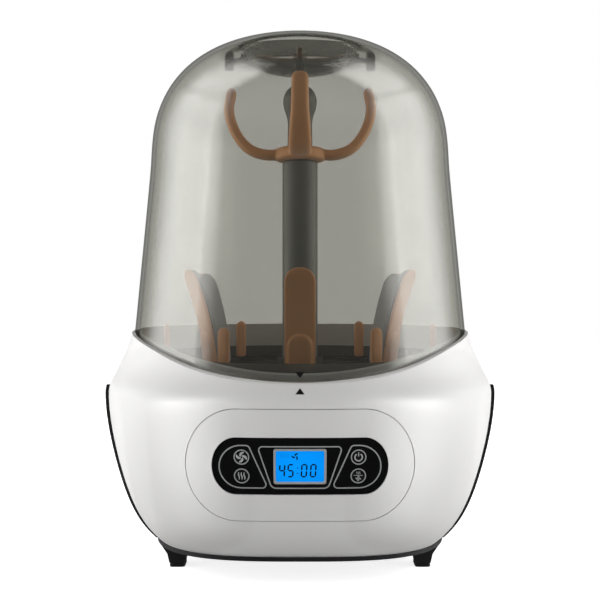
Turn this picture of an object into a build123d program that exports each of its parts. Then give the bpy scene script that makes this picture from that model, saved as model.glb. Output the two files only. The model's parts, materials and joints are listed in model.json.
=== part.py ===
"""Countertop bottle steriliser and dryer: smoked dome lid, two-level drying rack, steam heater base.

Frame: millimetres, +Z up, -Y is the front, origin on the floor under the dome's axis.
"""
from build123d import *
from functools import cache
import math
import os

os.makedirs("parts", exist_ok=True)

# ------------------------------------------------------------------ shared dimensions
# base form, from bottom to top: height, half width, half depth, squareness of the outline
BODY_STATIONS = [
    (17.5, 102.5, 92.5, 3.00), (24.0, 109.2, 99.0, 2.99), (33.0, 116.3, 106.3, 2.95),
    (50.0, 125.0, 114.8, 2.89), (76.0, 133.4, 123.8, 2.80),
    (102.0, 139.3, 129.9, 2.70), (124.0, 141.7, 132.9, 2.61),
    (130.5, 141.4, 132.4, 2.52), (136.0, 139.6, 130.6, 2.38), (142.0, 137.0, 128.8, 2.22),
    (150.0, 133.8, 127.9, 2.06), (160.0, 129.6, 126.9, 2.00), (173.0, 125.5, 125.5, 2.00),
]
WALL = 2.6                      # housing wall
SPLIT_Y = -46.0                 # plane where the white front shell meets the black rear shell
SPLIT_Z = 131.0                 # height where the white collar takes over all round

# seam between lid and base: level behind the axis, an arc that dips towards the front
SEAM_Z = 169.0
SEAM_R = 294.6

BOTTOM_Z = 17.5                 # bottom plate, underside and top
BOTTOM_TOP = 20.0
BOSS_HEIGHT = 6.0               # bosses on the bottom plate under the chamber's posts
POST_XY = 62.0
POSTS = [(x, y) for x in (-POST_XY, POST_XY) for y in (-POST_XY, POST_XY)]

POWER_BOARD_Z, POWER_BOARD_Y = 30.0, -30.0

DUCT_X, DUCT_Y = 20.0, 82.0     # axis of the hot-air duct
FILTER_Z = 70.0                 # centre height of the intake filter
CORD_R = 3.2
CORD_X, CORD_Z = -70.0, 34.0    # where the cord passes the rear wall
CORD_SPOT = (CORD_X, CORD_Z)


# ------------------------------------------------------------------ shared forms
def level(z):
    """Horizontal plane at height z, facing up."""
    return Plane.XY.offset(z)


def upright(y):
    """Vertical plane at depth y, facing the front; its sketches are drawn in (x, z)."""
    return Plane.XZ.offset(-y)


FRONT = upright(-60)            # front outlines are pushed forward from here
REAR = upright(60)
FRONT_REACH, REAR_REACH = 90, -120


def discs(plane, radius, *spots):
    """Equal circles at the given spots, or one at the plane's origin."""
    with BuildSketch(plane) as outline:
        with Locations(*(spots or [(0, 0)])):
            Circle(radius)
    return outline.sketch


def rounded(plane, width, height, radius, *spots):
    """Equal rounded rectangles at the given spots."""
    with BuildSketch(plane) as outline:
        with Locations(*spots):
            RectangleRounded(width, height, radius)
    return outline.sketch


def save(name, part):
    part.label = name
    export_step(part, f"parts/{name}.step")


def superellipse_points(half_w, half_d, power, count=28):
    points = []
    for k in range(count):
        t = 2 * math.pi * k / count
        c, s = math.cos(t), math.sin(t)
        r = (abs(c / half_w) ** power + abs(s / half_d) ** power) ** (-1 / power)
        points.append((r * c, r * s))
    return points


@cache
def form(inset):
    """The base's outer form, drawn in by inset all round."""
    with BuildPart() as block:
        for z, half_w, half_d, power in BODY_STATIONS:
            with BuildSketch(level(z)):
                with BuildLine():
                    Spline(*superellipse_points(half_w - inset, half_d - inset, power),
                           periodic=True)
                make_face()
        loft()
    return block.part


def seam_block(gap):
    """Everything below the lid seam raised by gap."""
    rear_y, mid_y, low_y, floor_z = 200, -80.0, -160.0, -20
    top = SEAM_Z + gap

    def arc_point(y):
        return y, SEAM_Z - SEAM_R + math.sqrt(SEAM_R ** 2 - y ** 2) + gap

    with BuildPart() as block:
        with BuildSketch(Plane.YZ):
            with BuildLine():
                Line((rear_y, floor_z), (rear_y, top))
                Line((rear_y, top), (0, top))
                ThreePointArc((0, top), arc_point(mid_y), arc_point(low_y))
                Line(arc_point(low_y), (low_y, floor_z))
                Line((low_y, floor_z), (rear_y, floor_z))
            make_face()
        extrude(amount=200, both=True)
    return block.part


def front_prism(outline):
    """An outline drawn on the front plane, pushed forward through the front wall."""
    with BuildPart() as block:
        extrude(outline, amount=FRONT_REACH)
    return block.part


def front_layer(outline, outer, inner):
    """The part of a front prism that lies between two insets of the base form."""
    with BuildPart() as block:
        add(front_prism(outline))
        add(form(outer), mode=Mode.INTERSECT)
        add(form(inner), mode=Mode.SUBTRACT)
    return block.part


def step_cut(outline, keep, inset):
    """What lies outside form(inset) between two outlines: takes a flange down to its step."""
    with BuildPart() as block:
        extrude(outline, amount=FRONT_REACH)
        add(front_prism(keep), mode=Mode.SUBTRACT)
        add(form(inset), mode=Mode.SUBTRACT)
    return block.part


def cross_screw(z, head_r, head_h, shank_r, shank_h, slot, slot_w, slot_depth, spots=((0, 0),)):
    """Screws pointing up, head underside at z, each with a cross recess in the head."""
    with BuildPart() as screws:
        extrude(discs(level(z), head_r, *spots), amount=head_h)
        extrude(discs(level(z + head_h), shank_r, *spots), amount=shank_h)
        with BuildSketch(level(z)):
            with Locations(*spots):
                Rectangle(slot, slot_w)
                Rectangle(slot_w, slot)
        extrude(amount=slot_depth, mode=Mode.SUBTRACT)
    return screws.part


# ------------------------------------------------------------------ lid
# straight cone from foot to shoulder, superellipse crown above
DOME_FOOT_R, DOME_FOOT_Z = 127.46, 150.0
DOME_SHOULDER_R, DOME_SHOULDER_Z = 113.29, 298.72
DOME_TOP = 390.55
DOME_WALL = 2.6
DOME_R_POWER, DOME_Z_POWER = 2.62163, 2.30525
DOME_SLOPE = (DOME_SHOULDER_R - DOME_FOOT_R) / (DOME_SHOULDER_Z - DOME_FOOT_Z)
DOME_LOW_Z = 128.0              # the dome form runs down to here
DOME_SPLINE_Z = 285.0           # the crown's spline leaves the cone here
CROWN_ANGLES = (14, 22, 30, 38, 46, 54, 62, 70, 78, 84)

OPENING_A, OPENING_B = 49.5, 35.5   # crown opening, an oval crossed by the handle bar
HANDLE_HALF = 12.0                  # half the width of the handle bar
HANDLE_THICK = 6.5
HANDLE_BOSS_Z = 379.6               # underside of the screw boss below the handle bar
CUP_TOP, CUP_DEPTH = 388.0, 22.0
CUP_WALL = 2.2
CUP_GAP = 0.3
CUP_BOSS_Z = 366.6
SCREW_SEAT_Z = 369.6                # where the handle screw's head bears on the cup
TAB_X = 54.8
CROWN_CUT_Z = 360                   # below everything cut or kept in the crown


def dome_point(theta):
    """(radius, height) on the crown."""
    rise = (DOME_TOP - DOME_SHOULDER_Z) * math.sin(theta) ** (2 / DOME_Z_POWER)
    return DOME_SHOULDER_R * math.cos(theta) ** (2 / DOME_R_POWER), DOME_SHOULDER_Z + rise


def dome_radius(z):
    """Radius on the cone."""
    return DOME_FOOT_R + DOME_SLOPE * (z - DOME_FOOT_Z)


def dome_form(inset):
    """Solid of revolution under the dome's surface, drawn in along its normal by inset."""
    # points on the surface with their tangents: radius, height, dr, dz
    surface = [(dome_radius(DOME_SPLINE_Z), DOME_SPLINE_Z, DOME_SLOPE, 1.0)]
    step = 0.01
    for degrees in CROWN_ANGLES:
        theta = math.radians(degrees)
        before, after = dome_point(theta - step), dome_point(theta + step)
        surface.append((*dome_point(theta), after[0] - before[0], after[1] - before[1]))
    surface.append((0.0, DOME_TOP, -1.0, 0.0))

    drawn = []
    for r, z, dr, dz in surface:
        length = math.hypot(dr, dz)
        drawn.append((r - inset * dz / length, z + inset * dr / length))
    low = (dome_radius(DOME_LOW_Z) - inset * math.hypot(DOME_SLOPE, 1.0), DOME_LOW_Z)
    with BuildPart() as block:
        with BuildSketch(Plane.XZ):
            with BuildLine():
                Line((0, DOME_LOW_Z), low)
                Line(low, drawn[0])
                Spline(*drawn, tangents=((DOME_SLOPE, 1.0), (-1.0, 0.0)))
                Line(drawn[-1], (0, DOME_LOW_Z))
            make_face()
        revolve(axis=Axis.Z)
    return block.part


outer_dome = dome_form(0.0)


def crown_bar(thick, length, width):
    """A bar along X that follows the crown's surface."""
    with BuildPart() as bar:
        add(outer_dome)
        add(Pos(0, 0, -thick) * outer_dome, mode=Mode.SUBTRACT)
        with BuildSketch(level(CROWN_CUT_Z)):
            Rectangle(length, width)
        extrude(amount=60, mode=Mode.INTERSECT)
    return bar.part


with BuildPart() as lid_dome:
    add(outer_dome)
    add(dome_form(DOME_WALL), mode=Mode.SUBTRACT)
    add(seam_block(0.3), mode=Mode.SUBTRACT)
    # finger opening in the crown, either side of the handle bar
    with BuildSketch(level(370)):
        Ellipse(OPENING_A, OPENING_B)
        Rectangle(2 * OPENING_A + 20, 2 * HANDLE_HALF, mode=Mode.SUBTRACT)
    extrude(amount=40, mode=Mode.SUBTRACT)
    add(crown_bar(HANDLE_THICK, 2 * OPENING_A + 4, 2 * HANDLE_HALF))
    # screw boss and its pilot hole
    extrude(discs(level(HANDLE_BOSS_Z), 5.2), amount=7)
    extrude(discs(level(378), 1.75), amount=9, mode=Mode.SUBTRACT)
save("lid_dome", lid_dome.part)


# bowl under the handle bar: finger recess and drip catcher, held by a screw and two end tabs
def bowl(shrink, depth):
    """Ellipsoid drawn in from the crown opening by shrink."""
    with BuildPart() as ball:
        Sphere(radius=10)
        scale(by=((OPENING_A - shrink) / 10, (OPENING_B - shrink) / 10, depth / 10))
    return ball.part


# rim that lies against the dome's inner face round the opening
with BuildPart() as cup_flange:
    with BuildSketch(level(365)):
        Ellipse(OPENING_A + 8.5, OPENING_B + 5.5)
        Ellipse(OPENING_A - 3.0, OPENING_B - 3.0, mode=Mode.SUBTRACT)
    extrude(amount=30)
    add(dome_form(DOME_WALL + 0.3), mode=Mode.INTERSECT)
    add(dome_form(DOME_WALL + 2.1), mode=Mode.SUBTRACT)

with BuildPart() as cup_tabs:
    extrude(rounded(level(371), 6.4, 11.0, 1.5, (TAB_X, 0), (-TAB_X, 0)), amount=20)
    add(dome_form(3.4), mode=Mode.INTERSECT)

with BuildPart() as handle_cup:
    add(Pos(0, 0, CUP_TOP) * bowl(CUP_GAP, CUP_DEPTH))
    add(Pos(0, 0, CUP_TOP) * bowl(CUP_GAP + CUP_WALL, CUP_DEPTH - CUP_WALL), mode=Mode.SUBTRACT)
    extrude(discs(level(CUP_BOSS_Z), 5.6), amount=HANDLE_BOSS_Z - 0.2 - CUP_BOSS_Z)
    add(dome_form(CUP_GAP), mode=Mode.INTERSECT)
    add(cup_flange.part)
    add(cup_tabs.part)
    # clearance round the handle bar's underside
    add(crown_bar(HANDLE_THICK + CUP_GAP, 2 * OPENING_A + 6, 2 * HANDLE_HALF + 0.8),
        mode=Mode.SUBTRACT)
    # head recess and screw hole
    extrude(discs(level(CROWN_CUT_Z), 4.2), amount=SCREW_SEAT_Z - CROWN_CUT_Z,
            mode=Mode.SUBTRACT)
    extrude(discs(level(CROWN_CUT_Z), 1.8), amount=25, mode=Mode.SUBTRACT)
    # steam outlets
    with BuildSketch(level(355)):
        with PolarLocations(14.0, 8, start_angle=22.5):
            Circle(1.7)
    extrude(amount=22, mode=Mode.SUBTRACT)
save("handle_cup", handle_cup.part)

save("handle_screw", cross_screw(z=CUP_BOSS_Z + 0.1, head_r=3.9, head_h=2.8, shank_r=1.65,
                                 shank_h=16, slot=4.2, slot_w=1.0, slot_depth=1.4))

# ------------------------------------------------------------------ housings
FLANGE_PROUD = 2.4              # black parting flange stands this far out of the shells
FLANGE_W = 3.5
HOUSING_Z = BOTTOM_TOP + 0.2    # lower edge of both shells
REAR_HEIGHT = SPLIT_Z - 0.2 - HOUSING_Z
SHELL_SPAN = 400                # wider than any shell
SHELL_REACH = 200               # further front and rear than any shell
DOOR_W, DOOR_H, DOOR_CORNER = 86.0, 52.0, 6.5   # filter door


def shell_band(front_y, rear_y):
    """Rectangle at the shells' lower edge, between two depths."""
    with BuildSketch(level(HOUSING_Z)) as band:
        with Locations((0, (front_y + rear_y) / 2)):
            Rectangle(SHELL_SPAN, rear_y - front_y)
    return band.sketch


def oval_outline(width, height, end, z, grow):
    """A long oval: straight top and bottom, elliptical ends of half-width end."""
    half_w, half_h, end_half_w = width / 2 + grow, height / 2 + grow, end + grow
    end_x = half_w - end_half_w
    with BuildSketch(FRONT) as outline:
        with Locations((0, z)):
            Rectangle(2 * end_x, 2 * half_h)
        with Locations((end_x, z), (-end_x, z)):
            Ellipse(end_half_w, half_h)
    return outline.sketch


POD_Z = 86.2                    # centre height of the control pod


def pod_outline(grow):
    return oval_outline(width=147.8, height=75.2, end=33.0, z=POD_Z, grow=grow)


def window_outline(grow):
    return oval_outline(width=112.3, height=37.4, end=15.2, z=86.4, grow=grow)


# white shell: everything in front of the split, and the collar all round above it
with BuildPart() as front_zone:
    extrude(shell_band(-SHELL_REACH, SPLIT_Y - 0.1), amount=160)
    with BuildSketch(level(SPLIT_Z)):
        Rectangle(SHELL_SPAN, SHELL_SPAN)
    extrude(amount=50)

with BuildPart() as main_housing:
    add(form(0))
    add(form(WALL), mode=Mode.SUBTRACT)
    add(front_zone.part, mode=Mode.INTERSECT)
    add(seam_block(0.0), mode=Mode.INTERSECT)
    add(front_prism(pod_outline(0.0)), mode=Mode.SUBTRACT)
save("main_housing", main_housing.part)

with BuildPart() as rear_flange:
    add(form(-FLANGE_PROUD))
    add(form(WALL), mode=Mode.SUBTRACT)
    extrude(shell_band(SPLIT_Y, SPLIT_Y + FLANGE_W), amount=REAR_HEIGHT, mode=Mode.INTERSECT)

with BuildPart() as rear_housing:
    add(form(0))
    add(form(WALL), mode=Mode.SUBTRACT)
    extrude(shell_band(SPLIT_Y, SHELL_REACH), amount=REAR_HEIGHT, mode=Mode.INTERSECT)
    add(rear_flange.part)
    # filter door opening
    extrude(rounded(REAR, DOOR_W + 1.0, DOOR_H + 1.0, DOOR_CORNER + 0.5, (0, FILTER_Z)),
            amount=REAR_REACH, mode=Mode.SUBTRACT)
    # cord hole
    extrude(discs(REAR, 4.6, CORD_SPOT), amount=REAR_REACH, mode=Mode.SUBTRACT)
save("rear_housing", rear_housing.part)

# ------------------------------------------------------------------ bottom plate, legs, feet
BOTTOM_HALF_W, BOTTOM_HALF_D = 106.3, 96.4
FOOT_X, FOOT_Y_FRONT, FOOT_Y_REAR = 88.5, -42.0, 60.0
LEG_DEPTH = 16.0
# right-hand leg seen from the front, tapering down and inwards to a pad: x, z
LEG_PROFILE = [(80.0, 18.5), (101.5, 18.5), (95.4, 9.5), (94.0, 3.2), (83.0, 3.2), (80.0, 18.5)]

with BuildPart() as bottom_plate:
    with BuildSketch(level(BOTTOM_Z)):
        with BuildLine():
            Spline(*superellipse_points(BOTTOM_HALF_W, BOTTOM_HALF_D, 3.0), periodic=True)
        make_face()
    extrude(amount=BOTTOM_TOP - BOTTOM_Z)
    for foot_y in (FOOT_Y_FRONT, FOOT_Y_REAR):
        for side in (1, -1):
            with BuildSketch(upright(foot_y + LEG_DEPTH / 2)):
                with BuildLine():
                    Polyline(*[(side * x, z) for x, z in LEG_PROFILE])
                make_face()
            extrude(amount=LEG_DEPTH)
    # bosses over the four case screws, with head recesses and through holes
    extrude(discs(level(BOTTOM_TOP), 7.0, *POSTS), amount=BOSS_HEIGHT)
    extrude(discs(level(BOTTOM_Z - 1), 4.8, *POSTS), amount=6.0, mode=Mode.SUBTRACT)
    extrude(discs(level(BOTTOM_Z), 2.1, *POSTS), amount=12.0, mode=Mode.SUBTRACT)
    # board standoffs
    with BuildSketch(level(BOTTOM_TOP)):
        with Locations((0, POWER_BOARD_Y)):
            with GridLocations(84, 50, 2, 2):
                Circle(3.2)
    extrude(amount=POWER_BOARD_Z - 0.1 - BOTTOM_TOP)
    # air slots under the fan
    with BuildSketch(level(BOTTOM_Z)):
        with Locations((0, 40)):
            with GridLocations(7, 1, 9, 1):
                SlotOverall(34, 2.6, rotation=90)
    extrude(amount=6, mode=Mode.SUBTRACT)
save("bottom_plate", bottom_plate.part)

with BuildPart() as foot_pads:
    foot_spots = [(x, y) for y in (FOOT_Y_FRONT, FOOT_Y_REAR) for x in (FOOT_X, -FOOT_X)]
    extrude(rounded(Plane.XY, 11.0, 15.0, 2.5, *foot_spots), amount=3.1)
save("foot_pads", foot_pads.part)

save("housing_screws", cross_screw(z=19.4, head_r=4.0, head_h=3.0, shank_r=1.9, shank_h=18.0,
                                   slot=4.4, slot_w=1.0, slot_depth=1.5, spots=POSTS))

# ------------------------------------------------------------------ steam chamber
WELL_R, WELL_WALL = 122.3, 2.4
WELL_R_IN = WELL_R - WELL_WALL
LEDGE_Z, LEDGE_R = 139.2, 115.5     # ledge that carries the rack tray
FLOOR_Z, FLOOR_THICK = 112.0, 2.2   # floor, level round the plate, then rising to the ledge wall
FLOOR_EDGE_Z = 120.0
FLOOR_R_HOLE, FLOOR_R_FLAT = 58, 64.5
WELL_TOP = 175                      # trimmed to the seam afterwards
POST_Z, POST_R, POST_BORE = BOTTOM_TOP + BOSS_HEIGHT + 0.2, 5.0, 2.0
POST_BORED = 18.0                   # bored lower length, then a solid upper length
POST_SOLID = 69.4

# section of the well: radius, height
WELL_PROFILE = [
    (FLOOR_R_HOLE, FLOOR_Z - FLOOR_THICK), (FLOOR_R_HOLE, FLOOR_Z), (FLOOR_R_FLAT, FLOOR_Z),
    (LEDGE_R, FLOOR_EDGE_Z), (LEDGE_R, LEDGE_Z), (WELL_R_IN, LEDGE_Z),
    (WELL_R_IN, WELL_TOP), (WELL_R, WELL_TOP), (WELL_R, LEDGE_Z - WELL_WALL),
    (LEDGE_R + WELL_WALL, LEDGE_Z - WELL_WALL),
    (LEDGE_R + WELL_WALL, FLOOR_EDGE_Z - FLOOR_THICK),
    (FLOOR_R_FLAT, FLOOR_Z - FLOOR_THICK), (FLOOR_R_HOLE, FLOOR_Z - FLOOR_THICK),
]

with BuildPart() as well_posts:
    with BuildSketch(level(POST_Z)):
        with Locations(*POSTS):
            Circle(POST_R)
            Circle(POST_BORE, mode=Mode.SUBTRACT)
    extrude(amount=POST_BORED)
    extrude(discs(level(POST_Z + POST_BORED), POST_R, *POSTS), amount=POST_SOLID)

with BuildPart() as chamber_well:
    with BuildSketch(Plane.XZ):
        with BuildLine():
            Polyline(*WELL_PROFILE)
        make_face()
    revolve(axis=Axis.Z)
    add(seam_block(1.5), mode=Mode.INTERSECT)
    add(well_posts.part)
    # hot-air outlet nozzle
    extrude(rounded(level(109.0), 35.0, 19.0, 3.0, (DUCT_X, DUCT_Y)), amount=23.0)
    extrude(rounded(level(100.0), 30.6, 14.6, 1.5, (DUCT_X, DUCT_Y)), amount=40.0,
            mode=Mode.SUBTRACT)
save("chamber_well", chamber_well.part)

# ------------------------------------------------------------------ heating plate and element
# section of the plate, dished inside its rim: radius, height
PLATE_R = 63.0
PLATE_PROFILE = [
    (0, 111.1), (49, 111.1), (54, 113.05), (PLATE_R, 113.05), (PLATE_R, 114.3),
    (53.5, 114.3), (48.5, 112.4), (0, 112.4), (0, 111.1),
]
ELEMENT_R, ELEMENT_Z, ELEMENT_TUBE_R = 38.0, 104.7, 4.0
ELEMENT_START, ELEMENT_SWEEP = 100, 340     # degrees
TERMINAL_Z = 92.0                           # lower ends of element and thermostat terminals
THERMOSTAT_Z = 99.0

with BuildPart() as plate_gasket:
    with BuildSketch(level(FLOOR_Z + 0.05)):
        Circle(63.6)
        Circle(58.2, mode=Mode.SUBTRACT)
    extrude(amount=0.95)
save("plate_gasket", plate_gasket.part)

with BuildPart() as heating_plate:
    with BuildSketch(Plane.XZ):
        with BuildLine():
            Polyline(*PLATE_PROFILE)
        make_face()
    revolve(axis=Axis.Z)
save("heating_plate", heating_plate.part)

with BuildPart() as heat_spreader:
    extrude(discs(level(108.8), 48.0), amount=2.2)
save("heat_spreader", heat_spreader.part)

# tubular element bent into an open ring, its cold ends turned down
with BuildPart() as heating_element:
    with BuildLine() as element_path:
        CenterArc((0, 0, ELEMENT_Z), ELEMENT_R, ELEMENT_START, ELEMENT_SWEEP)
    with BuildSketch(Plane(origin=element_path.line @ 0, z_dir=element_path.line % 0)):
        Circle(ELEMENT_TUBE_R)
    sweep()
    end_angles = [math.radians(a) for a in (ELEMENT_START, ELEMENT_START + ELEMENT_SWEEP - 360)]
    end_spots = [(ELEMENT_R * math.cos(a), ELEMENT_R * math.sin(a)) for a in end_angles]
    extrude(discs(level(TERMINAL_Z), 2.4, *end_spots), amount=ELEMENT_Z - TERMINAL_Z)
save("heating_element", heating_element.part)

with BuildPart() as thermostat:
    extrude(discs(level(THERMOSTAT_Z), 8.0), amount=9.7)
    with BuildSketch(level(TERMINAL_Z)):
        with Locations((4, 0), (-4, 0)):
            Rectangle(0.8, 6.0)
    extrude(amount=THERMOSTAT_Z - TERMINAL_Z)
save("thermostat", thermostat.part)

FUSE_LENGTH = 18
with BuildPart() as thermal_fuse:
    extrude(discs(Plane.YZ.offset(-FUSE_LENGTH / 2), 3.0, (21.0, 105.4)), amount=FUSE_LENGTH)
save("thermal_fuse", thermal_fuse.part)

# ------------------------------------------------------------------ control panel
BOARD_Y = -111.6                # front face of the control board
BOARD_THICK = 1.6
LCD_SPOT = (0, 86.45)
LCD_FRAME_W, LCD_FRAME_H = 33.6, 23.3
LCD_W, LCD_H = 30.6, 20.5
BUTTON_X, BUTTON_HIGH, BUTTON_LOW = 37.1, 92.6, 80.1
BUTTON_SPOTS = [(x, z) for z in (BUTTON_HIGH, BUTTON_LOW) for x in (BUTTON_X, -BUTTON_X)]
BUTTON_R = 5.22
BOARD_SCREWS = [(66, POD_Z), (-66, POD_Z)]
# insets of the layers from the base form
WINDOW_FACE, WINDOW_BACK = 0.5, 3.3
SHELF = 3.4                     # bezel shelf the window is bonded onto
BEZEL_BACK = 4.2

# buttons: name, x, z, length of the stem (shorter where the wall leans in)
BUTTONS = [
    ("fan_button", -BUTTON_X, BUTTON_HIGH, 8.0),
    ("steam_button", -BUTTON_X, BUTTON_LOW, 5.5),
    ("power_button", BUTTON_X, BUTTON_HIGH, 8.0),
    ("auto_button", BUTTON_X, BUTTON_LOW, 5.5),
]

with BuildPart() as board_bosses:
    extrude(discs(upright(BOARD_Y - 0.2), 3.4, *BOARD_SCREWS), amount=12)
    add(form(2.0), mode=Mode.INTERSECT)

with BuildPart() as window_pocket:
    add(front_prism(window_outline(0.3)))
    add(form(SHELF), mode=Mode.SUBTRACT)

with BuildPart() as panel_bezel:
    add(front_layer(pod_outline(2.3), 0, BEZEL_BACK))
    # the flange behind the housing's edge sits lower than the face
    add(step_cut(pod_outline(6.0), pod_outline(-0.45), 2.8), mode=Mode.SUBTRACT)
    add(window_pocket.part, mode=Mode.SUBTRACT)
    add(front_prism(window_outline(-3.2)), mode=Mode.SUBTRACT)
    add(board_bosses.part)
    extrude(discs(upright(BOARD_Y), 1.35, *BOARD_SCREWS), amount=5.4, mode=Mode.SUBTRACT)
save("panel_bezel", panel_bezel.part)

# gloss window with openings for the display and the keys
with BuildPart() as panel_window:
    add(front_layer(window_outline(0.0), WINDOW_FACE, WINDOW_BACK))
    with BuildSketch(FRONT):
        with Locations(LCD_SPOT):
            RectangleRounded(LCD_FRAME_W + 0.2, LCD_FRAME_H + 0.2, 1.6)
        with Locations(*BUTTON_SPOTS):
            Circle(BUTTON_R + 0.18)
    extrude(amount=FRONT_REACH, mode=Mode.SUBTRACT)
save("panel_window", panel_window.part)

with BuildPart() as lcd_frame:
    add(front_prism(rounded(FRONT, LCD_FRAME_W, LCD_FRAME_H, 1.5, LCD_SPOT)))
    add(front_prism(rounded(FRONT, LCD_W + 0.4, LCD_H + 0.4, 0.9, LCD_SPOT)), mode=Mode.SUBTRACT)
    add(form(0.3), mode=Mode.INTERSECT)
    add(form(WINDOW_BACK), mode=Mode.SUBTRACT)
save("lcd_frame", lcd_frame.part)

save("lcd_screen", front_layer(rounded(FRONT, LCD_W, LCD_H, 0.7, LCD_SPOT), 0.9, WINDOW_BACK))

save("lcd_module", front_layer(rounded(FRONT, 40.0, 28.0, 1.0, LCD_SPOT), 3.6, 7.6))


def push_button(x, z, stem):
    """A round key: cap through the window, retaining flange behind it, stem to its switch."""
    spot = (x, z)
    with BuildPart() as key:
        add(front_layer(discs(FRONT, BUTTON_R + 0.9, spot), 0.2, 4.6))
        add(step_cut(discs(FRONT, BUTTON_R + 3, spot), discs(FRONT, BUTTON_R, spot), 3.6),
            mode=Mode.SUBTRACT)
        extrude(discs(upright(BOARD_Y - 4.0), 2.0, spot), amount=stem)
    return key.part


for button_name, button_x, button_z, stem_length in BUTTONS:
    save(button_name, push_button(button_x, button_z, stem_length))

with BuildPart() as control_board:
    with BuildSketch(upright(BOARD_Y)):
        with Locations((0, 88.0)):
            RectangleRounded(96.0, 34.0, 2.0)
        with Locations((0, POD_Z)):
            RectangleRounded(141.0, 9.0, 2.0)
        with Locations(*BOARD_SCREWS):
            Circle(1.7, mode=Mode.SUBTRACT)
    extrude(amount=-BOARD_THICK)
    # controller chip and connector on the back
    with BuildSketch(upright(BOARD_Y + BOARD_THICK)):
        with Locations((0, 90)):
            Rectangle(12, 12)
        with Locations((-30, 84)):
            Rectangle(16, 6)
    extrude(amount=-3.0)
save("control_board", control_board.part)

with BuildPart() as tact_switches:
    extrude(rounded(upright(BOARD_Y - 0.05), 6.2, 6.2, 0.6, *BUTTON_SPOTS), amount=2.2)
    extrude(discs(upright(BOARD_Y - 2.2), 1.75, *BUTTON_SPOTS), amount=0.8)
save("tact_switches", tact_switches.part)

with BuildPart() as panel_screws:
    extrude(discs(upright(BOARD_Y + 1.7), 2.8, *BOARD_SCREWS), amount=-1.8)
    extrude(discs(upright(BOARD_Y + 1.8), 1.25, *BOARD_SCREWS), amount=6.8)
save("panel_screws", panel_screws.part)

# ------------------------------------------------------------------ drying system
FAN_SPOT = (0, 62.0)            # fan axis: x, z
FAN_Z = FAN_SPOT[1]
FAN_Y, FAN_DEPTH = 64, 28       # scroll's front face and its depth
FAN_R = 34.0
FAN_TOP = 97.0                  # top of the scroll's outlet
FAN_WALL = 2.0
DUCT_W, DUCT_D = 36.0, 20.0     # outside of the duct
DUCT_BORE_W, DUCT_BORE_D = DUCT_W - 2 * FAN_WALL, DUCT_D - 2 * FAN_WALL
DUCT_Z = FAN_TOP + 0.2
DUCT_TOP = 108.6
IMPELLER_R = 26.0


def duct_outline(width, depth):
    """Rectangle round the duct's axis at the fan's centre height."""
    with BuildSketch(level(FAN_Z)) as outline:
        with Locations((DUCT_X, DUCT_Y)):
            Rectangle(width, depth)
    return outline.sketch


with BuildPart() as fan_housing:
    extrude(discs(upright(FAN_Y), FAN_R, FAN_SPOT), amount=-FAN_DEPTH)
    extrude(duct_outline(DUCT_W, DUCT_D), amount=FAN_TOP - FAN_Z)
    extrude(discs(upright(FAN_Y + FAN_WALL), FAN_R - FAN_WALL, FAN_SPOT),
            amount=-(FAN_DEPTH - 2 * FAN_WALL), mode=Mode.SUBTRACT)
    extrude(duct_outline(DUCT_BORE_W, DUCT_BORE_D), amount=FAN_TOP - FAN_Z + 2,
            mode=Mode.SUBTRACT)
    # air inlet in the rear wall, shaft hole in the front wall
    extrude(discs(upright(80), 20.0, FAN_SPOT), amount=-20, mode=Mode.SUBTRACT)
    extrude(discs(upright(60), 4.0, FAN_SPOT), amount=-10, mode=Mode.SUBTRACT)
save("fan_housing", fan_housing.part)

with BuildPart() as air_duct:
    with BuildSketch(level(DUCT_Z)):
        with Locations((DUCT_X, DUCT_Y)):
            Rectangle(DUCT_W, DUCT_D)
            Rectangle(DUCT_BORE_W, DUCT_BORE_D, mode=Mode.SUBTRACT)
    extrude(amount=DUCT_TOP - DUCT_Z)
save("air_duct", air_duct.part)

with BuildPart() as ptc_heater:
    with BuildSketch(level(98.0)):
        with Locations((DUCT_X, DUCT_Y)):
            Rectangle(DUCT_BORE_W - 0.8, DUCT_BORE_D - 0.8)
            with GridLocations(2.6, 1, 11, 1):
                Rectangle(1.4, 12.4, mode=Mode.SUBTRACT)
    extrude(amount=9.6)
save("ptc_heater", ptc_heater.part)

with BuildPart() as fan_motor:
    extrude(discs(upright(46), 17.0, FAN_SPOT), amount=-17.8)
    extrude(discs(upright(63), 2.0, FAN_SPOT), amount=-20.0)
save("fan_motor", fan_motor.part)

with BuildPart() as fan_impeller:
    # back disc, hub, blades, rear ring, shaft bore
    extrude(discs(upright(68), IMPELLER_R, FAN_SPOT), amount=-1.6)
    extrude(discs(upright(69), 7.0, FAN_SPOT), amount=-14.0)
    with BuildSketch(upright(69)):
        with Locations(FAN_SPOT):
            with PolarLocations(22.0, 20):
                Rectangle(7.6, 1.1, rotation=28)
    extrude(amount=-16.0)
    with BuildSketch(upright(84.4)):
        with Locations(FAN_SPOT):
            Circle(IMPELLER_R)
            Circle(18.6, mode=Mode.SUBTRACT)
    extrude(amount=-1.4)
    extrude(discs(upright(60), 2.1, FAN_SPOT), amount=-30.0, mode=Mode.SUBTRACT)
save("fan_impeller", fan_impeller.part)

# intake filter: door in the rear wall, frame and pleated medium in front of it
PLEATS = 18
MEDIA_W, MEDIA_H = 74.0, 38.0
PLEAT_FRONT_Y, PLEAT_REAR_Y, MEDIA_THICK = 96.0, 105.0, 1.2

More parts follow.
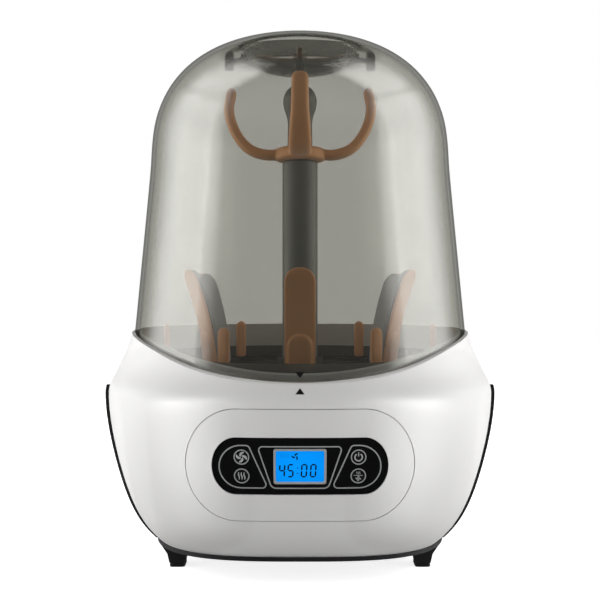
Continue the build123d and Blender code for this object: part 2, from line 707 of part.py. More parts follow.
with BuildPart() as filter_cover:
    extrude(rounded(REAR, DOOR_W, DOOR_H, DOOR_CORNER, (0, FILTER_Z)), amount=REAR_REACH)
    add(form(0), mode=Mode.INTERSECT)
    add(form(WALL), mode=Mode.SUBTRACT)
    # six air slots, and a wider slot below them
    with BuildSketch(REAR):
        with Locations((0, FILTER_Z + 2)):
            with GridLocations(1, 6.0, 1, 6):
                SlotOverall(66, 2.6)
        with Locations((0, FILTER_Z - 20.5)):
            SlotOverall(26, 6.0)
    extrude(amount=REAR_REACH, mode=Mode.SUBTRACT)
save("filter_cover", filter_cover.part)

with BuildPart() as filter_frame:
    with BuildSketch(upright(94.6)):
        with Locations((0, FILTER_Z)):
            RectangleRounded(80.0, 44.0, 3.0)
            RectangleRounded(75.0, 39.0, 1.5, mode=Mode.SUBTRACT)
    extrude(amount=-13.0)
save("filter_frame", filter_frame.part)

with BuildPart() as hepa_media:
    zigzag = [(-MEDIA_W / 2 + i * MEDIA_W / PLEATS, PLEAT_REAR_Y if i % 2 else PLEAT_FRONT_Y)
              for i in range(PLEATS + 1)]
    with BuildSketch(level(FILTER_Z - MEDIA_H / 2)):
        with BuildLine():
            rear_side = [(x, y + MEDIA_THICK) for x, y in zigzag]
            Polyline(*zigzag, *reversed(rear_side), zigzag[0])
        make_face()
    extrude(amount=MEDIA_H)
save("hepa_media", hepa_media.part)

# ------------------------------------------------------------------ power electronics
POWER_BOARD_THICK = 1.6
board_top = level(POWER_BOARD_Z + POWER_BOARD_THICK)

with BuildPart() as power_board:
    extrude(rounded(level(POWER_BOARD_Z), 96.0, 62.0, 2.0, (0, POWER_BOARD_Y)),
            amount=POWER_BOARD_THICK)
    # large rounded block
    extrude(rounded(board_top, 28, 24, 2.0, (-26, -32)), amount=22.0)
    # two round components
    with BuildSketch(board_top):
        with Locations((8, -42)):
            Circle(8.0)
        with Locations((8, -20)):
            Circle(6.5)
    extrude(amount=20.0)
    # two square-cornered blocks
    with BuildSketch(board_top):
        with Locations((32, -38)):
            Rectangle(19, 16)
        with Locations((32, -14)):
            Rectangle(14, 12)
    extrude(amount=15.0)
save("power_board", power_board.part)

# ------------------------------------------------------------------ mains cord
CORD_FLOOR_Z = CORD_R + 0.05            # cord lying on the floor
CORD_EXIT_Y = 113.4                     # the cord runs straight out to here, then drops
RUN_Y, RETURN_Y = 129.2, 115.2          # run to the right, and return towards the plug
TURN_X = 70.0
TURN_R = (RUN_Y - RETURN_Y) / 2
LIFT_X = 48.0                           # the return starts to rise to the plug here
PLUG_Z = 8.0
PLUG_BODY_X, PLUG_NECK_X = -22.0, 2.0   # left ends of the plug's body and neck
PIN_OFFSET = 6.35

with BuildPart() as strain_relief:
    # barrel through the wall, collar, outer sleeve, cord bore
    extrude(discs(upright(84.0), 4.4, CORD_SPOT), amount=-21.0)
    extrude(discs(upright(104.8), 6.6, CORD_SPOT), amount=-2.4)
    extrude(discs(upright(107.2), 5.4, CORD_SPOT), amount=-5.6)
    extrude(discs(upright(80.0), CORD_R + 0.15, CORD_SPOT), amount=-40.0, mode=Mode.SUBTRACT)
save("strain_relief", strain_relief.part)

with BuildPart() as mains_cord:
    with BuildLine() as cord_path:
        cord_exit = (CORD_X, CORD_EXIT_Y, CORD_Z)
        landing = (-38.0, RUN_Y, CORD_FLOOR_Z)
        turn_start = (TURN_X, RUN_Y, CORD_FLOOR_Z)
        turn_mid = (TURN_X + TURN_R, RUN_Y - TURN_R, CORD_FLOOR_Z)
        turn_end = (TURN_X, RETURN_Y, CORD_FLOOR_Z)
        lift = (LIFT_X, RETURN_Y, CORD_FLOOR_Z)
        plug_entry = (20.0, RETURN_Y, PLUG_Z)
        Line((CORD_X, 78.0, CORD_Z), cord_exit)
        Spline(cord_exit, (-67.0, 124.5, 23.0), (-55.0, 128.6, 7.2), landing,
               tangents=((0, 1, 0), (1, 0, 0)))
        Line(landing, turn_start)
        ThreePointArc(turn_start, turn_mid, turn_end)
        Line(turn_end, lift)
        Spline(lift, (34.0, RETURN_Y, 5.6), plug_entry, tangents=((-1, 0, 0), (-1, 0, 0)))
        Line(plug_entry, (6.0, RETURN_Y, PLUG_Z))
    with BuildSketch(Plane(origin=cord_path.line @ 0, z_dir=cord_path.line % 0)):
        Circle(CORD_R)
    sweep()
save("mains_cord", mains_cord.part)

with BuildPart() as mains_plug:
    body_spot = (RETURN_Y, PLUG_Z + 0.05)
    extrude(rounded(Plane.YZ.offset(PLUG_BODY_X), 18.4, 16.0, 4.5, body_spot),
            amount=PLUG_NECK_X - PLUG_BODY_X)
    extrude(discs(Plane.YZ.offset(PLUG_NECK_X), 5.6, body_spot), amount=14.0)
    extrude(discs(Plane.YZ.offset(4.0), CORD_R + 0.12, (RETURN_Y, PLUG_Z)), amount=14.0,
            mode=Mode.SUBTRACT)
    with BuildSketch(Plane.YZ.offset(-39.5)):
        with Locations((RETURN_Y - PIN_OFFSET, PLUG_Z), (RETURN_Y + PIN_OFFSET, PLUG_Z)):
            Rectangle(1.5, 6.4)
    extrude(amount=18.5)
save("mains_plug", mains_plug.part)

# ------------------------------------------------------------------ lower rack
TRAY_R, TRAY_Z, TRAY_THICK = 118.9, 139.6, 2.4
TRAY_TOP = TRAY_Z + TRAY_THICK
# a peg's centre line leans outwards as it rises: radius at the tray, slope and curvature terms
PEG_FOOT_R, PEG_SLOPE, PEG_CURVE = 74.2, 0.065, 0.002616
PEG_W, PEG_TOP = 21.7, 214.5
PEG_LOW_Z, PEG_HIGH_Z = 140.0, 216.5    # peg faces are drawn over this height, then masked
PEG_STEPS = 7
PEG_COUNT, PEG_START = 6, -90           # the first peg is at the front
PEG_TAB_R = PEG_FOOT_R - 1.5
RIB_W, RIB_TOP = 17.0, 169.0
GUARD_START = -60                       # guards stand midway between the pegs
GUARD_R, GUARD_THICK = 103.0, 4.0
GUARD_HALF_W, GUARD_SHOULDER_Z = 4.5, 169.0
POLE_R, POLE_Z, POLE_TOP = 13.6, TRAY_TOP + 0.2, 299.0
RACK_BORE_R = 6.3                       # bore for the knob's shank


def peg_face(offset_in, offset_out, z_high):
    """Radial profile of a peg between two distances from its centre line."""
    inner, outer = [], []
    for i in range(PEG_STEPS + 1):
        z = PEG_LOW_Z + (z_high - PEG_LOW_Z) * i / PEG_STEPS
        rise = z - 142
        r = PEG_FOOT_R + PEG_SLOPE * rise + PEG_CURVE * rise ** 2
        slope = PEG_SLOPE + 2 * PEG_CURVE * rise
        k = math.hypot(1.0, slope)
        inner.append((r + offset_in / k, z - offset_in * slope / k))
        outer.append((r + offset_out / k, z - offset_out * slope / k))
    with BuildSketch(Plane.XZ) as face:
        with BuildLine():
            Spline(*inner)
            Line(inner[-1], outer[-1])
            Spline(*reversed(outer))
            Line(outer[0], inner[0])
        make_face()
    return face.sketch


def peg_mask(width, top, radius):
    """Prism along +X with a peg's outline: square foot, rounded top corners."""
    half, bottom = width / 2, 142.05
    with BuildPart() as mask:
        with BuildSketch(Plane.YZ):
            with BuildLine():
                Line((-half, bottom), (half, bottom))
                Line((half, bottom), (half, top - radius))
                RadiusArc((half, top - radius), (half - radius, top), -radius)
                Line((half - radius, top), (-half + radius, top))
                RadiusArc((-half + radius, top), (-half, top - radius), -radius)
                Line((-half, top - radius), (-half, bottom))
            make_face()
        extrude(amount=140)
    return mask.part


def ring_of(part, start_angle):
    """Copies of a part turned round the axis, one for each peg."""
    with BuildPart() as ring:
        with PolarLocations(0, PEG_COUNT, start_angle=start_angle):
            add(part)
    return ring.part


with BuildPart() as one_core:
    extrude(peg_face(-2.6, -0.4, PEG_HIGH_Z), amount=PEG_W / 2, both=True)
    add(peg_mask(PEG_W - 1.2, PEG_TOP - 0.8, 9.0), mode=Mode.INTERSECT)
    # tab into the tray
    with BuildSketch(level(138.4)):
        with Locations((PEG_TAB_R, 0)):
            Rectangle(2.2, 10.0)
    extrude(amount=4.4)
save("peg_cores", ring_of(one_core.part, PEG_START))

with BuildPart() as one_rib:
    extrude(peg_face(2.0, 4.6, 170.0), amount=RIB_W / 2, both=True)
    add(peg_mask(RIB_W, RIB_TOP, 8.0), mode=Mode.INTERSECT)

with BuildPart() as one_pad:
    extrude(peg_face(-0.3, 2.8, PEG_HIGH_Z), amount=PEG_W / 2, both=True)
    add(peg_mask(PEG_W, PEG_TOP, 9.6), mode=Mode.INTERSECT)
    add(one_rib.part)
save("peg_pads", ring_of(one_pad.part, PEG_START))

with BuildPart() as one_guard:
    with BuildSketch(Plane.YZ.offset(GUARD_R - GUARD_THICK / 2)):
        with BuildLine():
            left, right = -GUARD_HALF_W, GUARD_HALF_W
            low, shoulder = TRAY_TOP + 0.1, GUARD_SHOULDER_Z
            Line((left, low), (right, low))
            Line((right, low), (right, shoulder))
            ThreePointArc((right, shoulder), (0, shoulder + GUARD_HALF_W), (left, shoulder))
            Line((left, shoulder), (left, low))
        make_face()
    extrude(amount=GUARD_THICK)
    # round both faces' edges, leaving the foot square
    fillet(one_guard.edges().filter_by(Axis.X, reverse=True)
           .filter_by(lambda e: e.center().Z > 143), radius=1.2)
    # tab into the tray
    with BuildSketch(level(138.6)):
        with Locations((GUARD_R, 0)):
            Rectangle(2.4, 5.0)
    extrude(amount=4.0)
save("guard_pegs", ring_of(one_guard.part, GUARD_START))

with BuildPart() as rack_tray:
    with BuildSketch(level(TRAY_Z)):
        Circle(TRAY_R)
        # two rings of radial slots
        with PolarLocations(45.0, 18, start_angle=0):
            SlotOverall(34.0, 4.2, mode=Mode.SUBTRACT)
        with PolarLocations(96.0, 24, start_angle=7.5):
            SlotOverall(24.0, 4.2, mode=Mode.SUBTRACT)
        # peg and guard tab holes, pole screw hole
        with PolarLocations(PEG_TAB_R, PEG_COUNT, start_angle=PEG_START):
            Rectangle(2.8, 10.6, mode=Mode.SUBTRACT)
        with PolarLocations(GUARD_R, PEG_COUNT, start_angle=GUARD_START):
            Rectangle(3.0, 5.6, mode=Mode.SUBTRACT)
        Circle(2.7, mode=Mode.SUBTRACT)
    extrude(amount=TRAY_THICK)
    # outer rim
    with BuildSketch(level(TRAY_Z)):
        Circle(TRAY_R)
        Circle(TRAY_R - 2.2, mode=Mode.SUBTRACT)
    extrude(amount=11.4)
    # collar round the pole
    with BuildSketch(level(TRAY_Z)):
        Circle(18.0)
        Circle(POLE_R + 0.2, mode=Mode.SUBTRACT)
    extrude(amount=9.0)
save("rack_tray", rack_tray.part)

with BuildPart() as rack_pole:
    extrude(discs(level(POLE_Z), POLE_R), amount=POLE_TOP - POLE_Z)
    chamfer(rack_pole.edges().group_by(Axis.Z)[-1], length=1.2)
    # knob bore at the top, screw bore at the foot
    extrude(discs(level(POLE_TOP - 30), RACK_BORE_R), amount=40, mode=Mode.SUBTRACT)
    extrude(discs(level(POLE_Z - 1), 2.45), amount=16, mode=Mode.SUBTRACT)
    # locating dimple on the front
    extrude(discs(upright(-POLE_R + 0.8), 2.2, (0, 228)), amount=3, mode=Mode.SUBTRACT)
save("rack_pole", rack_pole.part)

save("pole_screw", cross_screw(z=136.6, head_r=5.0, head_h=2.9, shank_r=2.35, shank_h=16,
                               slot=5.4, slot_w=1.2, slot_depth=1.5))

# ------------------------------------------------------------------ upper rack
# centre line of an arm, from the hub to the tip: radius, height
ARM_POINTS = [(13.0, 305.0), (27.0, 304.4), (39.5, 309.0), (49.5, 321.0), (55.0, 338.0),
              (53.2, 352.0)]
ARM_HALF_THICK = 4.0
# outline of an arm seen along its radius, narrowing upwards: y, z
ARM_OUTLINE = [(-6.2, 349.5), (-6.6, 330.0), (-8.6, 309.0), (-8.6, 295.0),
               (8.6, 295.0), (8.6, 309.0), (6.6, 330.0), (6.2, 349.5)]
# knob: radii and heights of shank, neck and grip
KNOB_SHANK_R, KNOB_Z = 6.0, 272
KNOB_NECK_R, KNOB_NECK_Z = 9.6, 309.8
KNOB_GRIP_R, KNOB_GRIP_Z = 9.4, 328.0
KNOB_TOP = 358.0

with BuildLine(Plane.XZ) as arm_line:
    Spline(*ARM_POINTS)


def arm_side(distance, count=12):
    """Points along the arm's centre line, moved sideways by distance."""
    points = []
    for i in range(count + 1):
        u = i / count
        p = arm_line.line @ u
        t = arm_line.line % u
        points.append((p.X - t.Z * distance, p.Z + t.X * distance))
    return points


with BuildPart() as one_arm:
    with BuildSketch(Plane.XZ):
        with BuildLine():
            above, below = arm_side(ARM_HALF_THICK), arm_side(-ARM_HALF_THICK)
            Spline(*above)
            end = arm_line.line @ 1
            tip = arm_line.line % 1
            ThreePointArc(above[-1],
                          (end.X + tip.X * ARM_HALF_THICK, end.Z + tip.Z * ARM_HALF_THICK),
                          below[-1])
            Spline(*reversed(below))
            Line(below[0], above[0])
        make_face()
    extrude(amount=9.0, both=True)
    # the arm narrows towards a rounded tip
    with BuildSketch(Plane.YZ):
        with BuildLine():
            Polyline(*ARM_OUTLINE)
            ThreePointArc(ARM_OUTLINE[-1], (0, 356.4), ARM_OUTLINE[0])
        make_face()
    extrude(amount=80, mode=Mode.INTERSECT)

with BuildPart() as accessory_rack:
    extrude(discs(level(POLE_TOP + 0.4), 20.0), amount=10.2)
    fillet(accessory_rack.edges().group_by(Axis.Z)[-1], radius=3.0)
    with PolarLocations(0, 4, start_angle=0):
        add(one_arm.part)
    extrude(discs(level(290), RACK_BORE_R), amount=40, mode=Mode.SUBTRACT)
save("accessory_rack", accessory_rack.part)

with BuildPart() as rack_knob:
    with BuildSketch(Plane.XZ):
        with BuildLine():
            Line((0, KNOB_Z), (KNOB_SHANK_R, KNOB_Z))
            Line((KNOB_SHANK_R, KNOB_Z), (KNOB_SHANK_R, KNOB_NECK_Z))
            Line((KNOB_SHANK_R, KNOB_NECK_Z), (KNOB_NECK_R, KNOB_NECK_Z))
            Line((KNOB_NECK_R, KNOB_NECK_Z), (KNOB_GRIP_R, KNOB_GRIP_Z))
            Spline((KNOB_GRIP_R, KNOB_GRIP_Z), (12.0, 339.0), (12.8, 348.0), (8.6, 355.6),
                   (0, KNOB_TOP), tangents=((0, 1), (-1, 0)))
            Line((0, KNOB_TOP), (0, KNOB_Z))
        make_face()
    revolve(axis=Axis.Z)
save("rack_knob", rack_knob.part)
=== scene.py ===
# A steam appliance: a white base with a display panel, a smoked dome lid, and two racks of
# peach silicone inside. It stands on z = 0 round the Z axis and its front faces -Y.
# Shapes and prints are written in millimetres; materials, lights and camera are in metres.
import json
import math
from functools import cached_property

import bmesh
import bpy
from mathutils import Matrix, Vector
from mathutils.bvhtree import BVHTree


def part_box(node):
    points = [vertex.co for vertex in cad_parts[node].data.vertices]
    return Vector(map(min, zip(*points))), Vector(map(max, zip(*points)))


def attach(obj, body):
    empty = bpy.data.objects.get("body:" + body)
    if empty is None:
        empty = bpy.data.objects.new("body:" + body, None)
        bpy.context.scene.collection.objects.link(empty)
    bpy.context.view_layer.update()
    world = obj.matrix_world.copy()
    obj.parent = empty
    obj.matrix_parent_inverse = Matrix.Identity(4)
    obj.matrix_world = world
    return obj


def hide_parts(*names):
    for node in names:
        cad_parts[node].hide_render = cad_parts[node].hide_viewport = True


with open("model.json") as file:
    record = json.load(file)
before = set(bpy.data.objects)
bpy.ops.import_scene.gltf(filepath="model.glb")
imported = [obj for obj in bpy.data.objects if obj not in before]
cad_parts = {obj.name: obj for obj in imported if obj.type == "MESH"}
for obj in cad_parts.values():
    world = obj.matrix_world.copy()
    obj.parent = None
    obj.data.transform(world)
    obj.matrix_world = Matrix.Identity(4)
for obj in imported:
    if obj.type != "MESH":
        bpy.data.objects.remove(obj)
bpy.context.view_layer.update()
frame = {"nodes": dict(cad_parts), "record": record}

scene = bpy.context.scene
nodes = frame["nodes"]
MM = 0.001
QUARTER = math.pi / 2


# ------------------------------------------------------------------ node helpers
def rgba(colour):
    return (*colour, 1.0)


def shade(colour, factor):
    return tuple(min(1.0, max(0.0, c * factor)) for c in colour)


class Tree:
    """A short way to write the node tree of a material or a world."""

    def __init__(self, owner, output="ShaderNodeOutputMaterial"):
        self.owner = owner
        owner.use_nodes = True
        self.tree = owner.node_tree
        self.tree.nodes.clear()
        self.out = self.tree.nodes.new(output)

    @cached_property
    def place(self):
        return self.add("ShaderNodeTexCoord").outputs["Object"]

    def add(self, kind, settings=None, **inputs):
        """New node; an input's name is written with _ for each space."""
        node = self.tree.nodes.new(kind)
        for key, value in (settings or {}).items():
            setattr(node, key, value)
        for key, value in inputs.items():
            self.put(node, key.replace("_", " "), value)
        return node

    def put(self, node, key, value):
        socket = node.inputs[key]
        if isinstance(value, bpy.types.NodeSocket):
            self.tree.links.new(value, socket)
        else:
            socket.default_value = value

    def math(self, operation, *values):
        node = self.add("ShaderNodeMath", {"operation": operation})
        for i, value in enumerate(values):
            self.put(node, i, value)
        return node.outputs[0]

    def axis(self, vector, index):
        return self.add("ShaderNodeSeparateXYZ", Vector=vector).outputs[index]

    def noise(self, scale, detail=3.0, rough=0.55, vector=None, distortion=0.0):
        return self.add("ShaderNodeTexNoise", Vector=vector or self.place, Scale=scale,
                        Detail=detail, Roughness=rough, Distortion=distortion).outputs["Fac"]

    def stretch(self, scale):
        return self.add("ShaderNodeMapping", Vector=self.place, Scale=scale).outputs[0]

    def between(self, value, span, to, smooth=False):
        """Maps the range span onto the range to."""
        kind = "SMOOTHSTEP" if smooth else "LINEAR"
        return self.add("ShaderNodeMapRange", {"interpolation_type": kind}, Value=value,
                        From_Min=span[0], From_Max=span[1],
                        To_Min=to[0], To_Max=to[1]).outputs["Result"]

    def ramp(self, value, stops):
        node = self.add("ShaderNodeValToRGB", Fac=value)
        elements = node.color_ramp.elements
        while len(elements) < len(stops):
            elements.new(0.5)
        for element, (place, colour) in zip(elements, stops):
            element.position = place
            element.color = rgba(colour)
        return node.outputs["Color"]

    def mix(self, share, first, second):
        """Colour mix; each colour is a socket or an RGB tuple."""
        node = self.add("ShaderNodeMix", {"data_type": "RGBA"})
        self.put(node, 0, share)
        for index, value in ((6, first), (7, second)):
            is_socket = isinstance(value, bpy.types.NodeSocket)
            self.put(node, index, value if is_socket else rgba(value))
        return node.outputs[2]

    def bump(self, height, strength, distance, normal=None):
        node = self.add("ShaderNodeBump", Height=height, Strength=strength, Distance=distance)
        if normal is not None:
            self.put(node, "Normal", normal)
        return node.outputs[0]

    def shader(self, kind, **inputs):
        return self.add(kind, **inputs).outputs[0]

    def principled(self, **inputs):
        return self.shader("ShaderNodeBsdfPrincipled", **inputs)

    def mix_shader(self, share, first, second):
        node = self.add("ShaderNodeMixShader")
        for index, value in enumerate((share, first, second)):
            self.put(node, index, value)
        return node.outputs[0]

    def finish(self, shader):
        self.put(self.out, "Surface", shader)
        return self.owner


def material_tree(name):
    return Tree(bpy.data.materials.new(name))


# ------------------------------------------------------------------ kinds of material
def plastic(name, colour, rough, spread=0.04, grain=1400.0, bump=0.05, depth=0.00008, coat=0.0,
            coat_rough=0.06, metal=0.0, scratches=0.0, sheen=0.0, subsurface=0.0, specular=0.5,
            orange_peel=0.0, uneven=0.2):
    """Plastic, rubber or silicone: mottled colour, uneven roughness, fine grain and scratches.

    spread is the colour's variation, grain the scale of the fine bumps, bump and depth their
    strength and height, uneven the roughness's variation.
    """
    t = material_tree(name)
    cloud = t.noise(scale=18.0, detail=4.0)
    speck = t.noise(scale=grain * 0.6, detail=2.0)
    tint = t.mix(t.between(cloud, span=(0.3, 0.7), to=(0.0, 1.0)),
                 shade(colour, 1.0 - spread), shade(colour, 1.0 + spread))
    tint = t.mix(t.between(speck, span=(0.62, 0.78), to=(0.0, 0.35)),
                 tint, shade(colour, 1.0 - 2.2 * spread))
    wear = t.noise(scale=60.0, detail=5.0, rough=0.65)
    rough_range = (max(0.02, rough * (1 - uneven)), min(1.0, rough * (1 + uneven)))
    roughness = t.between(wear, span=(0.25, 0.75), to=rough_range)
    normal = t.bump(t.noise(scale=grain, detail=2.0), strength=bump, distance=depth)
    if orange_peel:
        normal = t.bump(t.noise(scale=150.0, detail=1.0), strength=orange_peel,
                        distance=0.0004, normal=normal)
    if scratches:
        # lines drawn out along Z
        fine = t.noise(scale=1.0, detail=3.0, rough=0.5,
                       vector=t.stretch((2600.0, 2600.0, 40.0)))
        roughness = t.math("ADD", roughness,
                           t.between(fine, span=(0.62, 0.8), to=(0.0, scratches)))
        normal = t.bump(fine, strength=scratches * 0.5, distance=0.00003, normal=normal)
    extra = {}
    if coat:
        extra.update(Coat_Weight=coat, Coat_Roughness=coat_rough)
    if sheen:
        extra.update(Sheen_Weight=sheen, Sheen_Roughness=0.5)
    if subsurface:
        extra.update(Subsurface_Weight=subsurface, Subsurface_Radius=(0.004, 0.002, 0.0012),
                     Subsurface_Scale=1.0)
    return t.finish(t.principled(Base_Color=tint, Roughness=roughness, Normal=normal,
                                 Metallic=metal, IOR=1.46, Specular_IOR_Level=specular, **extra))


def brushed(name, colour, rough, polar=False, axis=2):
    """Metal with brush marks, round the Z axis or along one axis."""
    t = material_tree(name)
    if polar:
        across_marks, along_marks = 2600.0, 1.2  # noise scales
        x, y, z = (t.axis(t.place, i) for i in range(3))
        radius = t.math("POWER", t.math("ADD", t.math("MULTIPLY", x, x),
                                        t.math("MULTIPLY", y, y)), 0.5)
        angle = t.math("ARCTAN2", y, x)
        where = t.add("ShaderNodeCombineXYZ", X=t.math("MULTIPLY", radius, across_marks),
                      Y=t.math("MULTIPLY", angle, along_marks),
                      Z=t.math("MULTIPLY", z, across_marks)).outputs[0]
    else:
        across_marks, along_marks = 1800.0, 30.0  # noise scales
        scale = [across_marks] * 3
        scale[axis] = along_marks
        where = t.stretch(tuple(scale))
    lines = t.noise(scale=1.0, detail=4.0, rough=0.6, vector=where)
    cloud = t.noise(scale=25.0, detail=3.0)
    tint = t.mix(t.between(lines, span=(0.3, 0.7), to=(0.0, 1.0)),
                 shade(colour, 0.84), shade(colour, 1.1))
    tint = t.mix(t.between(cloud, span=(0.4, 0.8), to=(0.0, 0.35)), tint, shade(colour, 0.8))
    return t.finish(t.principled(
        Base_Color=tint, Metallic=1.0,
        Roughness=t.between(lines, span=(0.2, 0.8), to=(rough * 0.7, rough * 1.35)),
        Normal=t.bump(lines, strength=0.35, distance=0.00002)))


def clear(name, tint, edge, haze, haze_colour, rough, dark_above=None, mirror=1.0, frost=0.0,
          dark_beside=None):
    """Smoked see-through plastic, darker where it is seen edge on, with a haze and a gloss.

    edge lists (how straight the view is, share of the tint). dark_above is (height, colour)
    and dark_beside is (distance from the middle along X, colour).
    """
    t = material_tree(name)
    facing = t.add("ShaderNodeLayerWeight", Blend=0.5).outputs["Facing"]
    straight = t.math("SUBTRACT", 1.0, facing)
    smear = t.noise(scale=22.0, detail=5.0, rough=0.6, distortion=0.4)

    # only faces whose true normal points away from the Z axis darken at the edge
    geometry = t.add("ShaderNodeNewGeometry")
    flip = t.math("MULTIPLY_ADD", geometry.outputs["Backfacing"], -2.0, 1.0)
    side, depth, height = t.add("ShaderNodeSeparateXYZ", Vector=t.place).outputs
    normal_x, normal_y = (t.axis(geometry.outputs["Normal"], i) for i in (0, 1))
    outward = t.math("MULTIPLY", flip, t.math("ADD", t.math("MULTIPLY", normal_x, side),
                                              t.math("MULTIPLY", normal_y, depth)))
    outer = t.math("GREATER_THAN", outward, 0.0)
    body = t.ramp(straight, [(place, tuple(c * share for c in tint)) for place, share in edge])
    body = t.mix(outer, tint, body)
    if dark_above:
        level, dark = dark_above
        band = (level - 0.002, level + 0.002)
        body = t.mix(t.between(height, span=band, to=(0.0, 1.0), smooth=True), body, dark)
    if dark_beside:
        limit, dark = dark_beside
        body = t.mix(t.math("GREATER_THAN", t.math("ABSOLUTE", side), limit), body, dark)
    see = t.shader("ShaderNodeBsdfTransparent", Color=body)

    # gloss: a rippled mirror, capped, fading towards the edges and the crown
    mirror_cap = 0.30
    ripple = t.bump(t.noise(scale=45.0, detail=2.0), strength=0.12, distance=0.0004)
    ripple = t.bump(t.noise(scale=1600.0, detail=2.0), strength=0.03, distance=0.00005,
                    normal=ripple)
    gloss_rough = t.between(smear, span=(0.3, 0.7), to=(rough * 0.8, rough * 1.3))
    gloss = t.shader("ShaderNodeBsdfGlossy", Roughness=gloss_rough, Normal=ripple)
    fresnel = t.shader("ShaderNodeFresnel", IOR=1.49, Normal=ripple)
    mirror_share = t.math("MINIMUM", t.math("MULTIPLY", fresnel, mirror), mirror_cap)
    mirror_share = t.math("MULTIPLY", mirror_share,
                          t.between(straight, span=(0.30, 0.56), to=(0.0, 1.0), smooth=True))
    if dark_above:
        mirror_share = t.math("MULTIPLY", mirror_share,
                              t.between(height, span=(0.335, 0.362), to=(1.0, 0.06),
                                        smooth=True))

    # haze: a thin milky layer, partly lit from behind
    lit_from_behind = 0.45
    milk = t.shader("ShaderNodeBsdfDiffuse", Color=rgba(haze_colour), Roughness=0.4)
    through = t.shader("ShaderNodeBsdfTranslucent", Color=rgba(haze_colour))
    milky = t.mix_shader(lit_from_behind, milk, through)
    share = t.between(smear, span=(0.25, 0.75), to=(haze * 0.85, haze * 1.15))
    share = t.math("MULTIPLY", share,
                   t.between(straight, span=(0.05, 0.30), to=(0.15, 1.0), smooth=True))
    if frost:
        share = t.math("ADD", share, t.between(t.noise(scale=900.0, detail=2.0),
                                               span=(0.5, 0.8), to=(0.0, frost)))
    return t.finish(t.mix_shader(mirror_share, t.mix_shader(share, see, milky), gloss))


def display_glass(name, level):
    """Even blue backlight, brighter in the middle, with a faint dot grid."""
    t = material_tree(name)
    low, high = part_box("lcd_screen")
    middle = (low + high) / 2
    x, z = (t.axis(t.place, i) for i in (0, 2))
    across = t.math("DIVIDE", t.math("SUBTRACT", x, middle.x), (high.x - low.x) / 2)
    up = t.math("DIVIDE", t.math("SUBTRACT", z, middle.z), (high.z - low.z) / 2)
    far = t.math("ADD", t.math("MULTIPLY", across, across), t.math("MULTIPLY", up, up))
    light = t.between(far, span=(0.0, 2.0), to=(1.03 * level, 0.86 * level))
    columns, rows = (t.add("ShaderNodeTexWave", {"wave_type": "BANDS", "bands_direction": axis},
                           Vector=t.place, Scale=1300.0).outputs["Fac"] for axis in "XZ")
    weave = t.math("MULTIPLY", columns, rows)
    light = t.math("MULTIPLY", light, t.between(weave, span=(0.0, 1.0), to=(0.985, 1.015)))
    cloud = t.noise(scale=90.0, detail=3.0)
    light = t.math("MULTIPLY", light, t.between(cloud, span=(0.3, 0.7), to=(0.985, 1.015)))
    return t.finish(t.principled(
        Base_Color=(0.002, 0.03, 0.06, 1.0), Roughness=0.3, Specular_IOR_Level=0.06,
        Emission_Color=(0.0, 0.295, 1.0, 1.0), Emission_Strength=light))


def board(name, colour):
    """Circuit board: solder mask with tracks and gold pads showing through."""
    t = material_tree(name)
    gold = (0.65, 0.48, 0.16)
    tracks = t.add("ShaderNodeTexBrick", Vector=t.place, Scale=160.0, Color1=rgba(colour),
                   Color2=rgba(shade(colour, 0.7)), Mortar=rgba(shade(colour, 1.8)),
                   Mortar_Size=0.03)
    dots = t.add("ShaderNodeTexVoronoi", Vector=t.place, Scale=260.0).outputs["Distance"]
    tint = t.mix(t.between(dots, span=(0.05, 0.12), to=(1.0, 0.0)), tracks.outputs["Color"], gold)
    return t.finish(t.principled(
        Base_Color=tint, Roughness=t.between(dots, span=(0.0, 0.2), to=(0.25, 0.45)),
        Normal=t.bump(t.noise(scale=700.0, detail=2.0), strength=0.1, distance=0.00005)))


def paper(name, colour):
    """Fibre paper."""
    t = material_tree(name)
    fibres = t.noise(scale=1.0, detail=5.0, rough=0.7, vector=t.stretch((900.0, 4200.0, 900.0)))
    cloud = t.noise(scale=40.0, detail=4.0)
    tint = t.mix(t.between(fibres, span=(0.35, 0.7), to=(0.0, 1.0)), shade(colour, 0.86), colour)
    tint = t.mix(t.between(cloud, span=(0.45, 0.8), to=(0.0, 0.3)), tint, shade(colour, 0.82))
    return t.finish(t.principled(Base_Color=tint, Roughness=0.92,
                                 Normal=t.bump(fibres, strength=0.5, distance=0.0001)))


